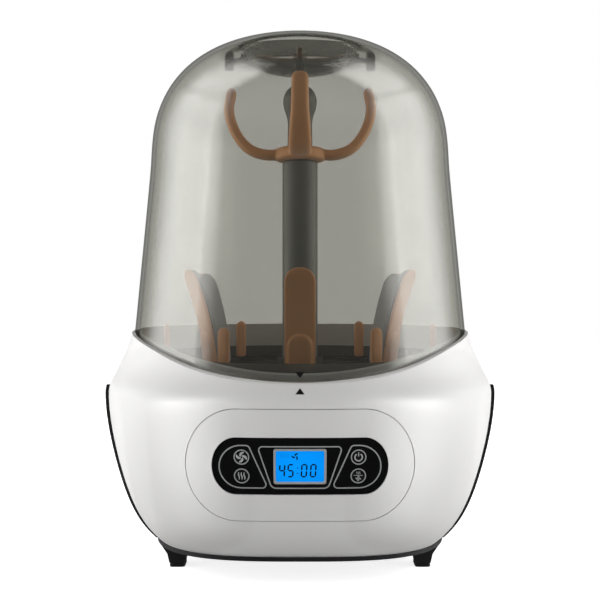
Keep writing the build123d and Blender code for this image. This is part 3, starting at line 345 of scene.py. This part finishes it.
# ------------------------------------------------------------------ materials
# name: (kind, its settings)
MATERIALS = {
    "smoke_dome": (clear, dict(
        tint=(0.770, 0.768, 0.745),
        edge=[(0.0, 0.47), (0.13, 0.54), (0.21, 0.66), (0.28, 0.88), (0.38, 1.0)],
        haze=0.030, haze_colour=(0.86, 0.86, 0.82), rough=0.19,
        dark_above=(0.3820, (0.44, 0.44, 0.42)), mirror=0.90)),
    "smoke_dark": (clear, dict(
        tint=(0.80, 0.80, 0.78), edge=[(0.0, 0.55), (0.4, 1.0)], haze=0.09,
        haze_colour=(0.40, 0.40, 0.385), rough=0.12, mirror=1.2,
        dark_beside=(0.0512, (0.42, 0.42, 0.40)))),
    "smoke_tray": (clear, dict(
        tint=(0.62, 0.61, 0.57), edge=[(0.0, 0.45), (0.5, 1.0)], haze=0.45,
        haze_colour=(0.36, 0.36, 0.34), rough=0.22, frost=0.1)),
    "white_shell": (plastic, dict(
        colour=(0.845, 0.84, 0.825), rough=0.40, spread=0.004, grain=1500.0, bump=0.04,
        coat=0.9, coat_rough=0.42, orange_peel=0.015, uneven=0.05)),
    "black_shell": (plastic, dict(
        colour=(0.012, 0.012, 0.013), rough=0.24, spread=0.25, grain=1500.0, bump=0.05,
        coat=0.3, scratches=0.06, orange_peel=0.03)),
    "black_matte": (plastic, dict(
        colour=(0.016, 0.016, 0.017), rough=0.55, spread=0.25, grain=2400.0, bump=0.35,
        depth=0.00012)),
    "black_rubber": (plastic, dict(
        colour=(0.013, 0.013, 0.013), rough=0.78, spread=0.3, grain=1800.0, bump=0.3,
        depth=0.00015, sheen=0.15)),
    "steel": (brushed, dict(colour=(0.60, 0.60, 0.61), rough=0.32)),
    "grey_plastic": (plastic, dict(
        colour=(0.60, 0.60, 0.585), rough=0.42, spread=0.04, grain=1900.0, bump=0.16)),
    "silicone_grey": (plastic, dict(
        colour=(0.42, 0.42, 0.42), rough=0.6, spread=0.06, grain=1500.0, bump=0.15, sheen=0.2)),
    "stainless": (brushed, dict(colour=(0.66, 0.655, 0.64), rough=0.26, polar=True)),
    "aluminium": (brushed, dict(colour=(0.78, 0.78, 0.79), rough=0.36, axis=0)),
    "element_steel": (brushed, dict(colour=(0.22, 0.21, 0.20), rough=0.42, polar=True)),
    "ceramic_white": (plastic, dict(
        colour=(0.78, 0.76, 0.70), rough=0.6, spread=0.05, grain=1200.0, bump=0.3,
        depth=0.0001)),
    "window_black": (plastic, dict(
        colour=(0.0016, 0.0019, 0.0020), rough=0.10, spread=0.2, grain=1500.0, bump=0.01,
        coat=0.06, specular=0.22)),
    "silver_trim": (plastic, dict(
        colour=(0.72, 0.74, 0.75), rough=0.36, spread=0.05, grain=2200.0, bump=0.10,
        metal=0.1, scratches=0.06)),
    "lcd_blue": (display_glass, dict(level=1.0)),
    "button_black": (plastic, dict(
        colour=(0.004, 0.0042, 0.0045), rough=0.2, spread=0.2, grain=1900.0, bump=0.05,
        coat=0.2, specular=0.3)),
    "board_green": (board, dict(colour=(0.015, 0.12, 0.035))),
    "filter_paper": (paper, dict(colour=(0.86, 0.85, 0.79))),
    "pole_grey": (plastic, dict(
        colour=(0.185, 0.185, 0.170), rough=0.42, spread=0.08, grain=1900.0, bump=0.15,
        orange_peel=0.04)),
    "peg_grey": (plastic, dict(
        colour=(0.36, 0.36, 0.345), rough=0.5, spread=0.06, grain=1900.0, bump=0.2)),
    "peach_silicone": (plastic, dict(
        colour=(0.86, 0.42, 0.175), rough=0.5, spread=0.06, grain=1700.0, bump=0.16,
        depth=0.0001, sheen=0.25, subsurface=0.12)),
    # prints and display marks
    "print_white": (plastic, dict(
        colour=(0.74, 0.75, 0.75), rough=0.45, spread=0.05, grain=2600.0, bump=0.2)),
    "print_line": (plastic, dict(
        colour=(0.60, 0.615, 0.61), rough=0.4, spread=0.06, grain=2600.0, bump=0.2)),
    "print_black": (plastic, dict(
        colour=(0.004, 0.004, 0.004), rough=0.5, spread=0.2, grain=2600.0, bump=0.2)),
    "lcd_ghost": (display_glass, dict(level=0.84)),
    "lcd_ink": (plastic, dict(
        colour=(0.003, 0.010, 0.020), rough=0.5, spread=0.3, grain=2200.0, bump=0.1,
        specular=0.15)),
}
materials = {name: kind(name, **settings) for name, (kind, settings) in MATERIALS.items()}


def paint_cad_pieces():
    slot_of = {part["node"]: part["material_slot"] for part in frame["record"].get("subparts", [])
               if "node" in part and "material_slot" in part}
    for name, node in nodes.items():
        material = materials.get(slot_of.get(name, ""), materials["black_matte"])
        if not node.material_slots:
            node.data.materials.append(material)
        for slot in node.material_slots:
            slot.material = material


paint_cad_pieces()


# ------------------------------------------------------------------ mesh helpers, in mm
def make(name, verts, faces, material, smooth=True):
    mesh = bpy.data.meshes.new(name)
    mesh.from_pydata([tuple(c * MM for c in v) for v in verts], [], faces)
    mesh.validate()
    mesh.update()
    bm = bmesh.new()
    bm.from_mesh(mesh)
    bmesh.ops.recalc_face_normals(bm, faces=bm.faces)
    bm.to_mesh(mesh)
    bm.free()
    mesh.polygons.foreach_set("use_smooth", [smooth] * len(mesh.polygons))
    mesh.materials.append(material)
    thing = bpy.data.objects.new(name, mesh)
    scene.collection.objects.link(thing)
    return thing


def bake(thing):
    """Applies all modifiers to the mesh."""
    depsgraph = bpy.context.evaluated_depsgraph_get()
    mesh = bpy.data.meshes.new_from_object(thing.evaluated_get(depsgraph))
    thing.modifiers.clear()
    thing.data = mesh
    return thing


def loft(rings):
    """Closed tube through rings of equal count, its ends closed."""
    count = len(rings[0])
    verts = [p for ring in rings for p in ring]
    faces = []
    for i in range(len(rings) - 1):
        for k in range(count):
            a, b = i * count + k, i * count + (k + 1) % count
            faces.append((a, b, b + count, a + count))
    faces.append(tuple(reversed(range(count))))
    faces.append(tuple(range((len(rings) - 1) * count, len(rings) * count)))
    return verts, faces


def join(parts):
    verts, faces = [], []
    for part_verts, part_faces in parts:
        base = len(verts)
        verts += part_verts
        faces += [tuple(base + i for i in face) for face in part_faces]
    return verts, faces


def axes_at(angle):
    """Directions away from the Z axis and round it, at an angle."""
    return (Vector((math.cos(angle), math.sin(angle), 0)),
            Vector((-math.sin(angle), math.cos(angle), 0)))


def section(centre, across, out, half_w, half_t, power=3.2, count=28):
    """Soft rounded strip section: a superellipse in the plane of the directions across and out."""
    ring = []
    for k in range(count):
        a = 2 * math.pi * k / count
        c, s = math.cos(a), math.sin(a)
        u = math.copysign(abs(c) ** (2 / power), c) * half_w
        v = math.copysign(abs(s) ** (2 / power), s) * half_t
        ring.append(centre + across * u + out * v)
    return ring


def fuse(thing, voxel, rounds):
    """One skin over overlapping forms, with soft inner corners."""
    remesh = thing.modifiers.new("fuse", "REMESH")
    remesh.mode = "VOXEL"
    remesh.voxel_size = voxel * MM
    remesh.use_smooth_shade = True
    soft = thing.modifiers.new("soft", "SMOOTH")
    soft.factor = 0.5
    soft.iterations = rounds
    return bake(thing)


# ------------------------------------------------------------------ silicone of the six tall pegs
# a peg's radius from the Z axis is a parabola of the height above its foot
PEG_FOOT_Z, PEG_FOOT_RADIUS = 142, 74.2
PEG_SLOPE, PEG_CURVE = 0.065, 0.002616
PAD_BOTTOM = 142.25


def peg_frame(z, angle):
    rise = z - PEG_FOOT_Z
    r = PEG_FOOT_RADIUS + PEG_SLOPE * rise + PEG_CURVE * rise ** 2
    slope = PEG_SLOPE + 2 * PEG_CURVE * rise
    radial, across = axes_at(angle)
    out = (radial + Vector((0, 0, -slope))) / math.hypot(1.0, slope)
    return radial * r + Vector((0, 0, z)), across, out


def strip(angle, high, half, corner, inner, outer, top_taper):
    """Pad up to the height high, between the offsets inner and outer from the peg's curve.

    It is 2 * half wide, with its top corners rounded and its top thinned over top_taper.
    """
    low, shoulder = PAD_BOTTOM, high - corner
    levels = [low + (shoulder - low) * i / 12 for i in range(13)]
    levels += [shoulder + corner * math.sin(QUARTER * i / 9) for i in range(1, 9)]
    levels.append(high - 0.12)
    rings = []
    for z in levels:
        base, across, out = peg_frame(z, angle)
        half_w = half
        if z > shoulder:
            half_w = half - corner + math.sqrt(max(0.0, corner ** 2 - (z - high + corner) ** 2))
        near_top = max(0.0, (z - (high - top_taper)) / top_taper)
        half_t = (outer - inner) / 2 * math.sqrt(max(0.06, 1 - 0.75 * near_top ** 2))
        rings.append(section(base + out * (inner + outer) / 2, across, out,
                             max(half_w, 0.8), half_t))
    return loft(rings)


def build_peg_silicone():
    """On each peg, a long strip and a shorter, thicker one over its foot."""
    parts = []
    for k in range(6):
        angle = math.radians(-90 + 60 * k)
        parts.append(strip(angle, high=214.4, half=10.75, corner=9.6, inner=-0.25, outer=2.8,
                           top_taper=6.0))
        parts.append(strip(angle, high=168.9, half=8.4, corner=7.9, inner=1.2, outer=4.6,
                           top_taper=5.0))
    thing = fuse(make("peg_silicone", *join(parts), materials["peach_silicone"]),
                 voxel=0.62, rounds=4)
    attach(thing, "lower_rack")
    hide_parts("peg_pads")


# ------------------------------------------------------------------ six short guard pegs
GUARD_RADIUS = 103  # from the Z axis
GUARD_HALF_W, GUARD_HALF_T = 4.45, 1.95
GUARD_SHOULDER = 169  # the half-round tip starts here
GUARD_LEVELS = [142.2, 144.5, 148.0, 153.0, 158.0, 163.0, 166.5]  # heights below the shoulder


def guard_peg(angle):
    radial, across = axes_at(angle)
    rings = []
    for z in GUARD_LEVELS + [GUARD_SHOULDER + GUARD_HALF_W * math.sin(QUARTER * i / 8)
                             for i in range(9)]:
        half_w, half_t = GUARD_HALF_W, GUARD_HALF_T
        if z > GUARD_SHOULDER:
            rise = z - GUARD_SHOULDER
            half_w = math.sqrt(max(0.0, GUARD_HALF_W ** 2 - rise ** 2))
            half_t *= math.sqrt(max(0.08, 1 - 0.8 * (rise / GUARD_HALF_W) ** 2))
        rings.append(section(radial * GUARD_RADIUS + Vector((0, 0, z)), across, radial,
                             max(half_w, 0.5), half_t, power=2.8, count=24))
    return loft(rings)


def build_guard_silicone():
    parts = [guard_peg(math.radians(-60 + 60 * k)) for k in range(6)]
    thing = make("guard_silicone", *join(parts), materials["peach_silicone"])
    subdivide = thing.modifiers.new("round", "SUBSURF")
    subdivide.levels = subdivide.render_levels = 1
    bake(thing)
    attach(thing, "lower_rack")
    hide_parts("guard_pegs")


# ------------------------------------------------------------------ upper rack
# middle line of a hooked arm: (radius, z)
ARM = [(13.0, 305.0), (27.0, 304.4), (39.5, 309.0), (49.5, 321.0), (55.0, 338.0), (53.2, 352.0)]
ARM_HALF_T = 3.95
TIP_LENGTH, TIP_HALF_W = 4.1, 6.1
# closed section of the hub with its bore: (radius, z)
HUB = [
    (6.45, 300.4), (7.2, 299.6), (12.0, 299.45), (17.6, 299.5), (19.4, 300.6), (19.95, 303.0),
    (19.6, 306.4), (18.2, 308.7), (15.2, 309.5), (11.0, 309.5), (7.4, 309.4), (6.45, 308.6),
]


def spline(points, steps):
    """Smooth curve through points (Catmull-Rom, spaced by the square root of each chord)."""
    def beyond(end, neighbour):
        return tuple(2 * a - b for a, b in zip(end, neighbour))

    def blend(p, q, p_knot, q_knot, t):
        span = q_knot - p_knot
        return p * ((q_knot - t) / span) + q * ((t - p_knot) / span)

    extended = [beyond(points[0], points[1]), *points, beyond(points[-1], points[-2])]
    curve = []
    last = len(extended) - 3
    for i in range(1, last + 1):
        p0, p1, p2, p3 = (Vector(p) for p in extended[i - 1:i + 3])
        t0 = 0.0
        t1 = t0 + max(1e-6, (p1 - p0).length) ** 0.5
        t2 = t1 + max(1e-6, (p2 - p1).length) ** 0.5
        t3 = t2 + max(1e-6, (p3 - p2).length) ** 0.5
        for s in range(steps if i < last else steps + 1):
            t = t1 + (t2 - t1) * s / steps
            a1 = blend(p0, p1, t0, t1, t)
            a2 = blend(p1, p2, t1, t2, t)
            a3 = blend(p2, p3, t2, t3, t)
            b1 = blend(a1, a2, t0, t2, t)
            b2 = blend(a2, a3, t1, t3, t)
            curve.append(blend(b1, b2, t1, t2, t))
    return curve


def arm_half_width(z):
    """The arm narrows as it rises."""
    if z < 309:
        return 8.5
    if z < 330:
        return 8.5 - 1.95 * (z - 309) / 21
    return 6.55 - 0.4 * (z - 330) / 20


def rack_arm(angle):
    radial, across = axes_at(angle)
    line = spline(ARM, 7)

    def ring(point, heading, half_w, half_t, power):
        out = radial * heading.y + Vector((0, 0, -heading.x))
        centre = radial * point.x + Vector((0, 0, point.y))
        return section(centre, across, out, half_w, half_t, power, count=32)

    rings = []
    for i, point in enumerate(line):
        before, after = line[max(0, i - 1)], line[min(len(line) - 1, i + 1)]
        rings.append(ring(point, (after - before).normalized(), arm_half_width(point.y),
                          ARM_HALF_T, 2.5))
    end = line[-1]
    heading = (end - line[-2]).normalized()
    for i in range(1, 8):
        s = math.sin(QUARTER * i / 7.3)
        c = math.cos(QUARTER * i / 7.3)
        rings.append(ring(end + heading * (TIP_LENGTH * s), heading, TIP_HALF_W * c,
                          ARM_HALF_T * c, 2.3))
    return loft(rings)


def rack_hub(count=64):
    verts, faces = [], []
    for i in range(count):
        a = 2 * math.pi * i / count
        verts += [Vector((r * math.cos(a), r * math.sin(a), z)) for r, z in HUB]
    n = len(HUB)
    for i in range(count):
        here, there = i * n, ((i + 1) % count) * n
        for k in range(n):
            after = (k + 1) % n
            faces.append((here + k, here + after, there + after, there + k))
    return verts, faces


def build_rack_silicone():
    """Hub and four hooked arms in one skin."""
    parts = [rack_arm(QUARTER * k) for k in range(4)] + [rack_hub()]
    thing = fuse(make("rack_silicone", *join(parts), materials["peach_silicone"]),
                 voxel=0.8, rounds=5)
    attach(thing, "upper_rack")
    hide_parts("accessory_rack")


build_peg_silicone()
build_guard_silicone()
build_rack_silicone()


# ------------------------------------------------------------------ printed marks, in mm
def surface(*names):
    """A function of (x, z) giving the frontmost y of the named pieces, or None beside them."""
    trees = []
    for name in names:
        mesh = nodes[name].data
        trees.append(BVHTree.FromPolygons([v.co.copy() for v in mesh.vertices],
                                          [tuple(p.vertices) for p in mesh.polygons]))

    def front(x, z):
        hits = (tree.ray_cast(Vector((x * MM, -0.4, z * MM)), Vector((0, 1, 0)))[0]
                for tree in trees)
        depths = [hit.y for hit in hits if hit is not None]
        return min(depths) / MM if depths else None

    return front


class Marks:
    """Thin raised prints that follow a surface seen from the front.

    They stand proud of the surface and sink into it by the given depths.
    """

    def __init__(self, name, front, material, body, slot, proud=0.14, sink=0.05):
        self.name, self.front, self.body, self.slot = name, front, body, slot
        self.material = materials[material]
        self.proud, self.sink = proud, sink
        # last_y stands in where the surface is missed
        self.verts, self.faces, self.last_y = [], [], -120.0

    def pair(self, x, z):
        """Adds an outer and an inner vertex; gives the outer one's index."""
        y = self.front(x, z)
        if y is None:
            y = self.last_y
        self.last_y = y
        self.verts += [(x, y - self.proud, z), (x, y + self.sink, z)]
        return len(self.verts) - 2

    def line(self, path, width, closed=False, taper=False):
        count = len(path)
        left, right = [], []
        for i, (x, z) in enumerate(path):
            before = path[(i - 1) % count] if closed or i else path[0]
            after = path[(i + 1) % count] if closed or i < count - 1 else path[-1]
            dx, dz = after[0] - before[0], after[1] - before[1]
            length = math.hypot(dx, dz) or 1.0
            h = width / 2
            if taper:
                h *= 0.55 + 0.45 * math.sin(math.pi * (i + 0.5) / count)
            left.append(self.pair(x - dz / length * h, z + dx / length * h))
            right.append(self.pair(x + dz / length * h, z - dx / length * h))
        for i in range(count if closed else count - 1):
            j = (i + 1) % count
            a, b, c, d = left[i], left[j], right[j], right[i]
            self.faces += [(a, b, c, d), (a + 1, d + 1, c + 1, b + 1),
                           (a, a + 1, b + 1, b), (d, c, c + 1, d + 1)]
        if not closed:
            a, d = left[0], right[0]
            self.faces.append((a, d, d + 1, a + 1))
            a, d = left[-1], right[-1]
            self.faces.append((a, a + 1, d + 1, d))

    def area(self, outline):
        outer = [self.pair(x, z) for x, z in outline]
        self.faces.append(tuple(outer))
        self.faces.append(tuple(i + 1 for i in reversed(outer)))
        for i, a in enumerate(outer):
            b = outer[(i + 1) % len(outer)]
            self.faces.append((a, a + 1, b + 1, b))

    def done(self):
        thing = make(self.name, self.verts, self.faces, self.material, smooth=False)
        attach(thing, self.body)


def distance(p, q):
    return math.hypot(p[0] - q[0], p[1] - q[1])


def rounded(corners):
    """Closed path round a polygon of (x, z, corner radius), as closely spaced points."""
    arc_step, straight_step, too_close = 0.35, 0.7, 0.05
    path = []
    for i, (x, z, r) in enumerate(corners):
        p = Vector((x, z))
        a = Vector(corners[i - 1][:2]) - p
        b = Vector(corners[(i + 1) % len(corners)][:2]) - p
        a.normalize()
        b.normalize()
        half = math.acos(max(-1, min(1, a.dot(b)))) / 2
        cut = r / math.tan(half)
        centre = p + (a + b).normalized() * (r / math.sin(half))
        start, end = p + a * cut - centre, p + b * cut - centre
        first, last = math.atan2(start.y, start.x), math.atan2(end.y, end.x)
        turn = (last - first + math.pi) % (2 * math.pi) - math.pi
        steps = max(4, int(abs(turn) * r / arc_step))
        for k in range(steps + 1):
            t = first + turn * k / steps
            path.append((centre.x + r * math.cos(t), centre.y + r * math.sin(t)))
    dense = []
    for i, p in enumerate(path):
        q = path[(i + 1) % len(path)]
        pieces = max(1, int(distance(p, q) / straight_step))
        for k in range(pieces):
            dense.append((p[0] + (q[0] - p[0]) * k / pieces, p[1] + (q[1] - p[1]) * k / pieces))
    clean = [dense[0]]
    for p in dense[1:]:
        if distance(p, clean[-1]) > too_close:
            clean.append(p)
    if distance(clean[0], clean[-1]) < too_close:
        clean.pop()
    return clean


def circle(cx, cz, r, steps, start=0.0, stop=360.0):
    """Points of a circle, or of an arc with both its ends."""
    full = stop - start >= 359.9
    angles = [math.radians(start + (stop - start) * k / steps)
              for k in range(steps if full else steps + 1)]
    return [(cx + r * math.cos(a), cz + r * math.sin(a)) for a in angles]


# outline of one fan blade: (radius, degrees)
BLADE = [
    (0.7, -28), (1.2, -39), (1.7, -48), (2.3, -55), (3.0, -62), (3.5, -66), (3.85, -64),
    (3.85, -56), (3.5, -40), (3.0, -23), (2.3, -3), (1.7, 13), (1.2, 25), (0.7, 32),
]


def pinwheel(marks, cx, cz, scale, blades=4, turn=128.0):
    for k in range(blades):
        shift = turn + 360 / blades * k
        marks.area([(cx + r * scale * math.cos(math.radians(a + shift)),
                     cz + r * scale * math.sin(math.radians(a + shift))) for r, a in BLADE])


def steam(marks, cx, cz, height, gap, width, swing):
    """Three wavy upright lines."""
    for k in (-1, 0, 1):
        x = cx + gap * k
        marks.line([(x + swing * math.sin(2 * math.pi * i / 14),
                     cz - height / 2 + height * i / 14) for i in range(15)], width, taper=True)


# panel outlines: (x, z, corner radius); the side one is the left one, mirrored for the right
TRIM_WIDTH = 0.82
SIDE_TRIM = [(-32.6, 100.2, 2.6), (-20.4, 72.0, 2.4), (-51.5, 72.0, 14.05), (-51.5, 100.2, 14.05)]
MIDDLE_TRIM = [(-26.9, 99.5, 2.2), (-18.0, 71.9, 4.0), (18.0, 71.9, 4.0), (26.9, 99.5, 2.2)]


def print_panel_trim():
    trim = Marks("panel_trim_lines", surface("panel_window"), "print_line", "base", "silver_trim")
    for side in (1, -1):
        corners = [(x * side, z, r) for x, z, r in SIDE_TRIM][::side]
        trim.line(rounded(corners), TRIM_WIDTH, closed=True)
    trim.line(rounded(MIDDLE_TRIM), TRIM_WIDTH, closed=True)
    trim.done()


def fan_icon(icon, cx, cz):
    pinwheel(icon, cx, cz, scale=0.98)


def steam_icon(icon, cx, cz):
    steam(icon, cx, cz, height=4.7, gap=1.75, width=0.78, swing=0.30)


def power_icon(icon, cx, cz):
    """A ring open at the top with an upright stem."""
    icon.line(circle(cx, cz - 0.1, r=2.35, steps=40, start=122, stop=418), width=0.80)
    icon.line([(cx, cz + 0.5 + 2.6 * i / 6) for i in range(7)], width=0.62)


def auto_icon(icon, cx, cz):
    """Steam over a bar over a small fan."""
    steam(icon, cx, cz + 2.0, height=2.0, gap=0.95, width=0.34, swing=0.2)
    icon.line([(cx - 2.9 + 5.8 * i / 12, cz + 0.35) for i in range(13)], width=0.34)
    pinwheel(icon, cx, cz - 1.75, scale=0.46)


# (CAD piece, moving body, icon)
KEYS = [
    ("fan_button", "fan_key", fan_icon), ("steam_button", "steam_key", steam_icon),
    ("power_button", "power_key", power_icon), ("auto_button", "auto_key", auto_icon),
]


def print_key(piece, body, draw_icon):
    low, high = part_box(piece)
    cx, cz = (low.x + high.x) / 2 / MM, (low.z + high.z) / 2 / MM
    front = surface(piece)
    ring = Marks(body + "_ring", front, "print_line", body, "silver_trim", proud=0.12)
    ring.line(circle(cx, cz, r=4.62, steps=72), width=0.72, closed=True)
    ring.done()
    icon = Marks(body + "_icon", front, "print_white", body, "silver_trim", proud=0.12)
    draw_icon(icon, cx, cz)
    icon.done()


# display: digits of seven segments, lettered clockwise from the top with g in the middle
DIGIT_Z, DIGIT_W, DIGIT_H = 79.7, 3.1, 8.0
SEGMENT_WIDTH, SEGMENT_GAP = 1.0, 0.16
LEAN = 0.06  # sideways shift per height
DIGITS = [(-13.2, "bcfg"), (-7.8, "acdfg"), (0.8, "abcdef"), (6.6, "abcdef")]  # x, segments: 4500
# start and end of each segment, as shares of the digit's width and height
SEGMENT_ENDS = {
    "a": (0, 1, 1, 1), "b": (1, 0.5, 1, 1), "c": (1, 0, 1, 0.5), "d": (0, 0, 1, 0),
    "e": (0, 0, 0, 0.5), "f": (0, 0.5, 0, 1), "g": (0, 0.5, 1, 0.5),
}
COLON_X, COLON_LEAN_Z, COLON_LEVELS, COLON_RADIUS = -1.75, 79.6, (81.9, 85.5), 0.42


def digit(marks, x, segments):
    gap, half = SEGMENT_GAP, SEGMENT_WIDTH / 2
    for letter in segments:
        u0, v0, u1, v1 = SEGMENT_ENDS[letter]
        x0, z0 = x + DIGIT_W * u0, DIGIT_Z + DIGIT_H * v0
        dx, dz = DIGIT_W * (u1 - u0), DIGIT_H * (v1 - v0)
        length = math.hypot(dx, dz)
        dx, dz = dx / length, dz / length
        near, far = gap + half, length - gap - half
        # pointed bar: (along, aside)
        bar = [(gap, 0), (near, half), (far, half), (length - gap, 0), (far, -half),
               (near, -half)]
        points = [(x0 + dx * s - dz * a, z0 + dz * s + dx * a) for s, a in bar]
        marks.area([(px + (pz - DIGIT_Z) * LEAN, pz) for px, pz in points])


def print_display_unlit():
    """A row of four faint bars above the digits."""
    ghost = Marks("display_unlit", surface("lcd_screen"), "lcd_ghost", "base", "lcd_blue",
                  proud=0.05, sink=0.02)
    low, high = 92.0, 94.8
    for k in range(4):
        left, right = -12.4 + 1.5 * k, -11.5 + 1.5 * k
        ghost.area([(left, low), (right, low), (right, high), (left, high)])
    ghost.done()


def print_display_rim():
    inset, width, corner = 0.72, 1.42, 2.1
    rim = Marks("display_rim", surface("lcd_frame", "lcd_screen"), "silver_trim", "base",
                "silver_trim", proud=0.22)
    low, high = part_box("lcd_frame")
    rx, rz = (high.x - low.x) / 2 / MM - inset, (high.z - low.z) / 2 / MM - inset
    cz = (high.z + low.z) / 2 / MM
    rim.line(rounded([(-rx, cz - rz, corner), (rx, cz - rz, corner),
                      (rx, cz + rz, corner), (-rx, cz + rz, corner)]), width, closed=True)
    rim.done()


def print_display_segments():
    """Dark digits, the colon and a small three-bladed fan sign."""
    ink = Marks("display_segments", surface("lcd_screen"), "lcd_ink", "base", "lcd_blue",
                proud=0.08, sink=0.02)
    for x, segments in DIGITS:
        digit(ink, x, segments)
    for z in COLON_LEVELS:
        ink.area(circle(COLON_X + (z - COLON_LEAN_Z) * LEAN, z, COLON_RADIUS, steps=12))
    pinwheel(ink, -2.9, 93.1, scale=0.66, blades=3, turn=110)
    ink.done()


def print_arrow(body, piece, corners):
    arrow = Marks(body + "_arrow", surface(piece), "print_black", body, "window_black",
                  proud=0.12)
    arrow.area(corners)
    arrow.done()


print_panel_trim()
for key in KEYS:
    print_key(*key)
print_display_unlit()
print_display_rim()
print_display_segments()
# a pair of small triangles pointing at each other across the lid's seam
print_arrow("lid", "lid_dome", [(-2.85, 146.5), (0.0, 142.7), (2.85, 146.5)])
print_arrow("base", "main_housing", [(-2.85, 132.8), (2.85, 132.8), (0.0, 136.6)])


# ------------------------------------------------------------------ stage: floor, lights, camera
FLOOR_SIZE, FLOOR_CELLS, FLOOR_Z = 6000.0, 12, -0.15  # mm


def floor_material():
    """Glows pale to the camera and is a quiet grey to everything else."""
    t = material_tree("stage_floor")
    cloud = t.noise(scale=3.0, detail=4.0)
    tint = t.mix(t.between(cloud, span=(0.3, 0.7), to=(0.0, 1.0)),
                 (0.80, 0.80, 0.795), (0.83, 0.83, 0.825))
    pale = t.add("ShaderNodeAddShader")
    t.put(pale, 0, t.shader("ShaderNodeBsdfDiffuse", Roughness=0.5, Color=tint))
    t.put(pale, 1, t.shader("ShaderNodeEmission", Strength=0.82))
    quiet = t.shader("ShaderNodeBsdfDiffuse", Color=(0.22, 0.22, 0.218, 1.0), Roughness=0.5)
    seen = t.add("ShaderNodeLightPath").outputs["Is Camera Ray"]
    return t.finish(t.mix_shader(seen, quiet, pale.outputs[0]))


def build_floor():
    steps = [-FLOOR_SIZE / 2 + FLOOR_SIZE * i / FLOOR_CELLS for i in range(FLOOR_CELLS + 1)]
    row = len(steps)
    corners = [i * row + j for i in range(FLOOR_CELLS) for j in range(FLOOR_CELLS)]
    floor = make("stage_floor", [(x, y, FLOOR_Z) for x in steps for y in steps],
                 [(a, a + row, a + row + 1, a + 1) for a in corners], floor_material())
    floor.visible_shadow = False


def build_world():
    """White to the camera, dim in reflections, a soft fill for the rest."""
    world = bpy.data.worlds.new("studio")
    scene.world = world
    t = Tree(world, "ShaderNodeOutputWorld")
    path = t.add("ShaderNodeLightPath")
    seen, fill, room = (
        t.shader("ShaderNodeBackground", Color=colour, Strength=strength)
        for colour, strength in (((1.0, 1.0, 1.0, 1.0), 1.0), ((1.0, 1.0, 0.995, 1.0), 0.28),
                                 ((1.0, 1.0, 1.0, 1.0), 0.06)))
    unseen = t.mix_shader(path.outputs["Is Glossy Ray"], fill, room)
    t.finish(t.mix_shader(path.outputs["Is Camera Ray"], unseen, seen))


def softbox(name, place, aim_z, size, power, only_for=None, diffuse=True, glossy=True):
    """Area light aimed at a height on the Z axis; it can be kept to a group of receivers."""
    light = bpy.data.lights.new(name, "AREA")
    light.shape = "RECTANGLE"
    light.size, light.size_y = size
    light.energy = power
    thing = bpy.data.objects.new(name, light)
    scene.collection.objects.link(thing)
    thing.location = place
    aim = Vector((0, 0, aim_z)) - Vector(place)
    thing.rotation_euler = aim.to_track_quat("-Z", "Y").to_euler()
    thing.visible_diffuse = diffuse
    thing.visible_glossy = glossy
    if only_for:
        thing.light_linking.receiver_collection = only_for


def light_group(name, *members):
    group = bpy.data.collections.new(name)
    for member in members:
        group.objects.link(nodes[member])
    return group


def build_lights():
    """The shell's sides shine while its middle stays calm; the dome has its own gleam."""
    shell_only = light_group("shell_only", "main_housing", "panel_bezel")
    not_shell = light_group("not_shell", "main_housing", "panel_bezel")
    for member in not_shell.collection_objects:
        member.light_linking.link_state = "EXCLUDE"
    dome_only = light_group("dome_only", "lid_dome", "handle_cup")
    for side in (-1, 1):
        softbox(f"box_side{side}", (1.0 * side, 0.04, 0.34), aim_z=0.22, size=(1.32, 1.25),
                power=17.0, only_for=not_shell)
        softbox(f"box_shell{side}", (1.0 * side, 0.0, 0.12), aim_z=0.10, size=(1.4, 1.3),
                power=23.0, only_for=shell_only, glossy=False)
        softbox(f"box_high{side}", (0.87 * side, 0.04, 1.46), aim_z=0.30, size=(1.20, 0.85),
                power=9.5, only_for=dome_only, diffuse=False)
        softbox(f"box_low{side}", (1.0 * side, -0.88, -0.22), aim_z=0.08, size=(0.95, 2.1),
                power=42.0, only_for=shell_only, diffuse=False)
        softbox(f"box_even{side}", (1.2 * side, -0.30, -0.60), aim_z=0.06, size=(0.8, 1.3),
                power=4.0, only_for=shell_only, glossy=False)
    softbox("box_top", (0, 0.9, 1.7), aim_z=0.2, size=(1.2, 1.0), power=1.5)


def build_camera():
    """Level view from the front."""
    camera = bpy.data.cameras.new("camera")
    viewer = bpy.data.objects.new("camera", camera)
    scene.collection.objects.link(viewer)
    viewer.location = (0, -0.689, 0.192)
    viewer.rotation_euler = (QUARTER, 0, 0)
    camera.lens = 53.34
    camera.sensor_width = 36.0
    camera.clip_start = 0.01
    camera.clip_end = 50.0
    scene.camera = viewer


build_floor()
build_world()
build_lights()
build_camera()
scene.view_settings.view_transform = "Standard"
scene.view_settings.look = "None"
scene.cycles.transparent_max_bounces = 48
scene.cycles.max_bounces = 10

bpy.context.view_layer.update()
